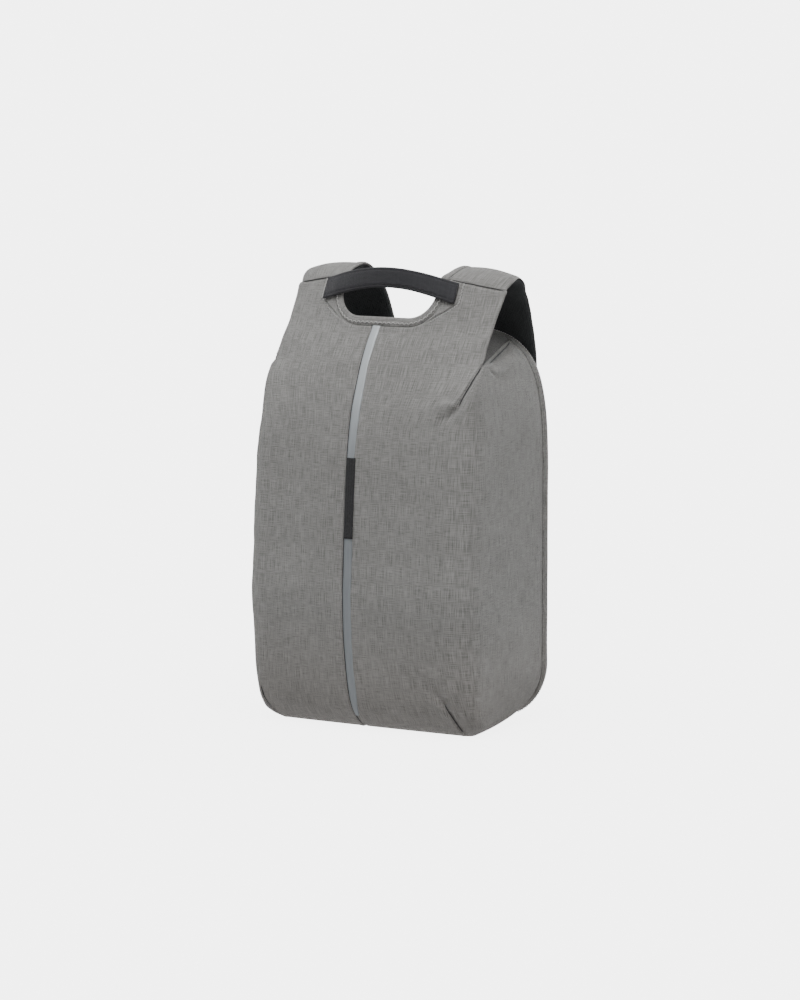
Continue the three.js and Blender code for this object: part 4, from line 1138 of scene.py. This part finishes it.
def bevelled_box(name, size, centre, bevel, material):
    bm = bmesh.new()
    bmesh.ops.create_cube(bm, size=1.0)
    for v in bm.verts:
        v.co = [(v.co[k] * size[k] + centre[k]) / 1000 for k in range(3)]
    mesh = bpy.data.meshes.new(name)
    bm.to_mesh(mesh)
    bm.free()
    obj = linked(name, mesh, material)
    mod = obj.modifiers.new("round", "BEVEL")
    mod.width = bevel / 1000
    mod.segments = 3
    applied(obj)
    box_uv(obj.data)
    obj.data.shade_smooth()
    return obj


def box_uv(mesh):
    layer = mesh.uv_layers.new(name="weave")
    for loop in mesh.loops:
        co = mesh.vertices[loop.vertex_index].co * 1000
        layer.data[loop.index].uv = (co.x, co.z + co.y)


def adjuster(side, word):
    """A ladder adjuster: two rails and three bars, each rounded, joined into one piece."""
    cx, cz, rail_x = side * END[0], ADJ_Z - PITCH, 14.9
    parts = [bevelled_box("bar", (ADJ_WIDTH, BAR_DEEP, BAR), (cx, ADJ_Y, cz + dz), 1.2, PLASTIC)
             for dz in (-PITCH, 0, PITCH)]
    parts += [bevelled_box("rail", (BAR, BAR_DEEP, ADJ_HEIGHT), (cx + dx, ADJ_Y, cz), 1.2, PLASTIC)
              for dx in (-rail_x, rail_x)]
    return place(joined(parts, "adjuster_" + word), ["adjuster_" + word])


def joined(parts, name):
    bm = bmesh.new()
    material = parts[0].data.materials[0]
    for part in parts:
        bm.from_mesh(part.data)
        mesh = part.data
        bpy.data.objects.remove(part)
        bpy.data.meshes.remove(mesh)
    mesh = bpy.data.meshes.new(name)
    bm.to_mesh(mesh)
    bm.free()
    mesh.shade_smooth()
    return linked(name, mesh, material)


for side, word in SIDES:
    hardware(side, word)


# Stitches, and dark tubes of painted shadow in the seams
def stitches(name, path, normals, length, gap, radius, material, zigzag=0.0):
    """Short raised stitches along a line on the cloth."""
    s = lengths(path)
    rings, sides, sink = 5, 6, 0.95

    def at(line, d):
        return np.stack([np.interp(d, s, line[:, i]) for i in range(3)], -1)

    k = np.arange(int(s[-1] // (length + gap)))
    a = (k + 0.08) * (length + gap)
    pa, pb, n = at(path, a), at(path, a + length), unit(at(normals, a + length / 2))
    lean = np.cross(n, unit(pb - pa)) * (zigzag * np.where(k % 2, 1, -1) / 2)[:, None]
    pa, pb = pa - lean, pb + lean
    t = np.linspace(0, 1, rings)[:, None]
    swell = np.sin(math.pi * (0.12 + 0.76 * t))
    angle = (2 * math.pi * np.arange(sides) / sides)[:, None]
    around = np.cross(n, unit(pb - pa))[:, None] * np.cos(angle) + n[:, None] * np.sin(angle)
    middle = pa[:, None] + (pb - pa)[:, None] * t + n[:, None] * radius * (swell - sink)
    verts = middle[:, :, None] + around[:, None] * (radius * (0.45 + 0.55 * swell))[:, None]
    uvs = np.stack(np.broadcast_arrays(t * length, angle[:, 0]), -1).reshape(-1, 2)
    one = grid_faces(rings, sides, close_cols=True).tolist()
    one += [list(range(sides))[::-1], list(range((rings - 1) * sides, rings * sides))]
    each = rings * sides
    faces = [[start + v for v in face] for start in range(0, len(k) * each, each) for face in one]
    mesh = bpy.data.meshes.new(name)
    mesh.from_pydata((verts.reshape(-1, 3) / 1000).tolist(), [], faces)
    layer = mesh.uv_layers.new(name="weave")
    for loop in mesh.loops:
        layer.data[loop.index].uv = uvs[loop.vertex_index % each]
    mesh.shade_smooth()
    return place(linked(name, mesh, material), [])


def rings_round(path, radius, a, b, count):
    """Rings round a path. a and b are the directions across it."""
    angle = np.linspace(0, 2 * math.pi, count + 1)[:-1][None, :, None]
    return path[:, None] + radius * (a * np.cos(angle) + b * np.sin(angle))


def seam_shadow_line(name, points, normals, radius, sink):
    """A dark tube of painted shadow that stands for the shade in the bottom of a pulled seam."""
    path = resample(points - normals * sink, max(12, int(lengths(points)[-1] / 1.5)))
    along = unit(np.gradient(path, axis=0))
    side = unit(np.cross(resample(np.asarray(normals, float), len(path)), along))
    share = lengths(path) / lengths(path)[-1]
    radius = (radius * np.clip(np.minimum(share, 1 - share) * 9, 0.12, 1))[:, None, None]
    pts = rings_round(path, radius, side[:, None], np.cross(along, side)[:, None], 8)
    return place(tube(name, pts, SEAM_SHADOW_DARK), [])


def front_line(points, side=1):
    x, z = resample(np.array(points, float), 80).T
    return on_cloth(x * side, z)


def seam_shadow_lines():
    # painted shadow: dark tubes along the centre seam, the shoulder seams and the darts
    centre = front_line([(SEAM_X, z) for z in np.linspace(1.5, 453.5, 60)])
    seam_shadow_line("centre_seam_shadow", *centre, 0.95, 0.45)
    for side, word in SIDES:
        shoulder = [(x, float(seam_height(x))) for x in np.linspace(NECK_HALF - 2, 134.2, 12)]
        seam_shadow_line("shoulder_seam_shadow_" + word, *front_line(shoulder, side), 0.42, 0.25)
        darts = [("base_dart_", BASE_DARTS[word][1:])] + ([("dart_", DART)] if side > 0 else [])
        for label, line in darts:
            seam_shadow_line(label + word, *front_line([(x, z) for x, _, z in line], side), 0.55, 0.85)


def ridge_fold(side, word):
    """The rolled edge of the gusset where it meets the top, and a dark tube of painted shadow below it."""
    t = np.linspace(0.0, 1.0, 60)
    y = (1 - t) * (BACK_Y - 122.5) + t * (BACK_Y - 1.0)
    x = (1 - t) * 134.6 + t * float(back_half(RIDGE_Z))
    path = np.stack([side * x, y, ARMHOLE + (RIDGE_Z - ARMHOLE) * t], -1)
    swell = (np.clip(t * 9, 0, 1) * np.clip((1 - t) * 5, 0, 1)) ** 0.8
    out = unit(np.array([side * 0.62, -0.1, 0.78]))
    down = unit(np.array([side * 0.78, 0.0, -0.62]))
    wave = 0.25 * ripple(path, 24, 61)[:, None, None]
    centre = path + out * (0.9 * swell - 0.3)[:, None] + down * (0.8 * swell)[:, None]
    pts = rings_round(centre, (0.3 + 1.7 * swell)[:, None, None], down, out, 12) + out * wave
    place(tube("ridge_fold_" + word, pts, GREY, flip=side < 0), [])
    # painted shadow: a dark tube under the fold, where its shade falls
    under = path + down * (2.6 * np.minimum(np.minimum(1, t * 16), (1 - t) * 8))[:, None] + out * 0.45
    keep = (t > 0.02) & (t < 0.96)
    seam_shadow_line("ridge_seam_shadow_" + word, under[keep], np.repeat(out[None], keep.sum(), 0), 1.25, 0.0)


def raised_stitches(name, x, z, lift, length, gap, radius, material, zigzag):
    """Stitches that lie on the front at some height over the cloth."""
    pts, nrm = on_cloth(x, z)
    stitches(name, pts + nrm * lift, nrm, length, gap, radius, material, zigzag)


def neck_stitches():
    right = neck_path(2.6, 260)
    x, z = np.vstack([right[::-1] * [-1, 1], right[1:]]).T
    raised_stitches("neck_zigzag", x, z, 1.75, 2.5, 0.35, 0.55, THREAD_PALE, 2.0)


def facing_stitches():
    for side, word in SIDES:
        x, z = resample(np.array([(x + 1.1, z - 1.6) for x, _, z in FACING[2:-1]]), 60).T
        raised_stitches("facing_stitch_" + word, side * x, z, 0.6, 1.9, 0.9, 0.4, THREAD_LIGHT, 0.9)


def handle_stitches():
    for side, word in SIDES:
        z = np.linspace(480.5, 503.5, 40)
        x = 89.6 + 0.02 * (z - HANDLE_Z)
        raised_stitches("handle_column_" + word, side * x, z, 1.0, 1.9, 0.2, 0.5, THREAD_PALE, 1.5)


def rim_stitches(name, inset, back, outward, lowest, zigzag):
    """Stitches on the rim that face outward from the outline, or else back."""
    pts = outline_ring(inset, back)
    nrm = np.stack([-INWARD[:, 0] * outward, np.full(len(pts), 1.0 - outward), -INWARD[:, 1] * outward], -1)
    keep = pts[:, 2] > lowest
    stitches(name, pts[keep], nrm[keep], 2.2, 0.7, 0.5, THREAD_PALE, zigzag)


seam_shadow_lines()
for side, word in SIDES:
    ridge_fold(side, word)
neck_stitches()
facing_stitches()
handle_stitches()
rim_stitches("rim_side_stitch", -1.7, 7.6, 1, 4, 1.5)
rim_stitches("rim_back_stitch", 12.2, 12.8, 0, -1, 0.0)


# Floor, light and camera
BACKDROP, FLOOR_TONE = 5.25, 0.35
KEY, KEY_TILT, SKY = 3.2, 20, 2.95
FLOOR_LIGHT = (KEY * math.cos(math.radians(KEY_TILT)) + SKY) / math.pi
# name, strength, rotation and angle of each lamp
LIGHTS = [
    ("key", KEY, (KEY_TILT, 0, 26), 50),
    ("sky", SKY, (0, 0, 0), 150),
    ("bounce", 2.8, (180, 0, 0), 150),
]


def studio():
    """A seamless pale floor that meets an evenly lit backdrop, and soft light from above and in front."""
    world = bpy.context.scene.world or bpy.data.worlds.new("studio")
    bpy.context.scene.world = world
    world.use_nodes = True
    shade = world.node_tree.nodes["Background"]
    shade.inputs["Color"].default_value = (1, 1, 1, 1)
    shade.inputs["Strength"].default_value = BACKDROP
    world.cycles_visibility.diffuse = False
    world.cycles_visibility.glossy = False
    bpy.ops.mesh.primitive_plane_add(size=120, location=(0, 0, -0.0004))
    floor = bpy.context.object
    floor.name = "floor"
    floor.visible_diffuse = False
    floor.visible_glossy = False
    floor.visible_shadow = False
    floor.data.materials.append(Tree("floor_paper").finish(
        Base_Color=(FLOOR_TONE, FLOOR_TONE, FLOOR_TONE, 1), Roughness=1.0, Specular_IOR_Level=0.0,
        Emission_Color=(1, 1, 1, 1), Emission_Strength=BACKDROP - FLOOR_TONE * FLOOR_LIGHT))
    for name, strength, rotation, angle in LIGHTS:
        light = bpy.data.lights.new(name, "SUN")
        light.energy = strength
        light.angle = math.radians(angle)
        linked(name, light).rotation_euler = [math.radians(v) for v in rotation]


def camera():
    azimuth, elevation, distance = math.radians(31.0), math.radians(7.2), 4.5
    target = np.array([0, -0.0135, 0.25])
    level = math.cos(elevation)
    back = np.array([math.sin(azimuth) * level, -math.cos(azimuth) * level, math.sin(elevation)])
    data = bpy.data.cameras.new("camera")
    data.sensor_fit = "AUTO"
    data.sensor_width = 36
    data.lens = 142.56
    data.shift_x, data.shift_y = 0.0016, 0.0027
    data.clip_end = 200
    obj = linked("camera", data)
    obj.location = target + back * distance
    obj.rotation_euler = (math.pi / 2 - elevation, 0, azimuth)
    bpy.context.scene.camera = obj


studio()
camera()
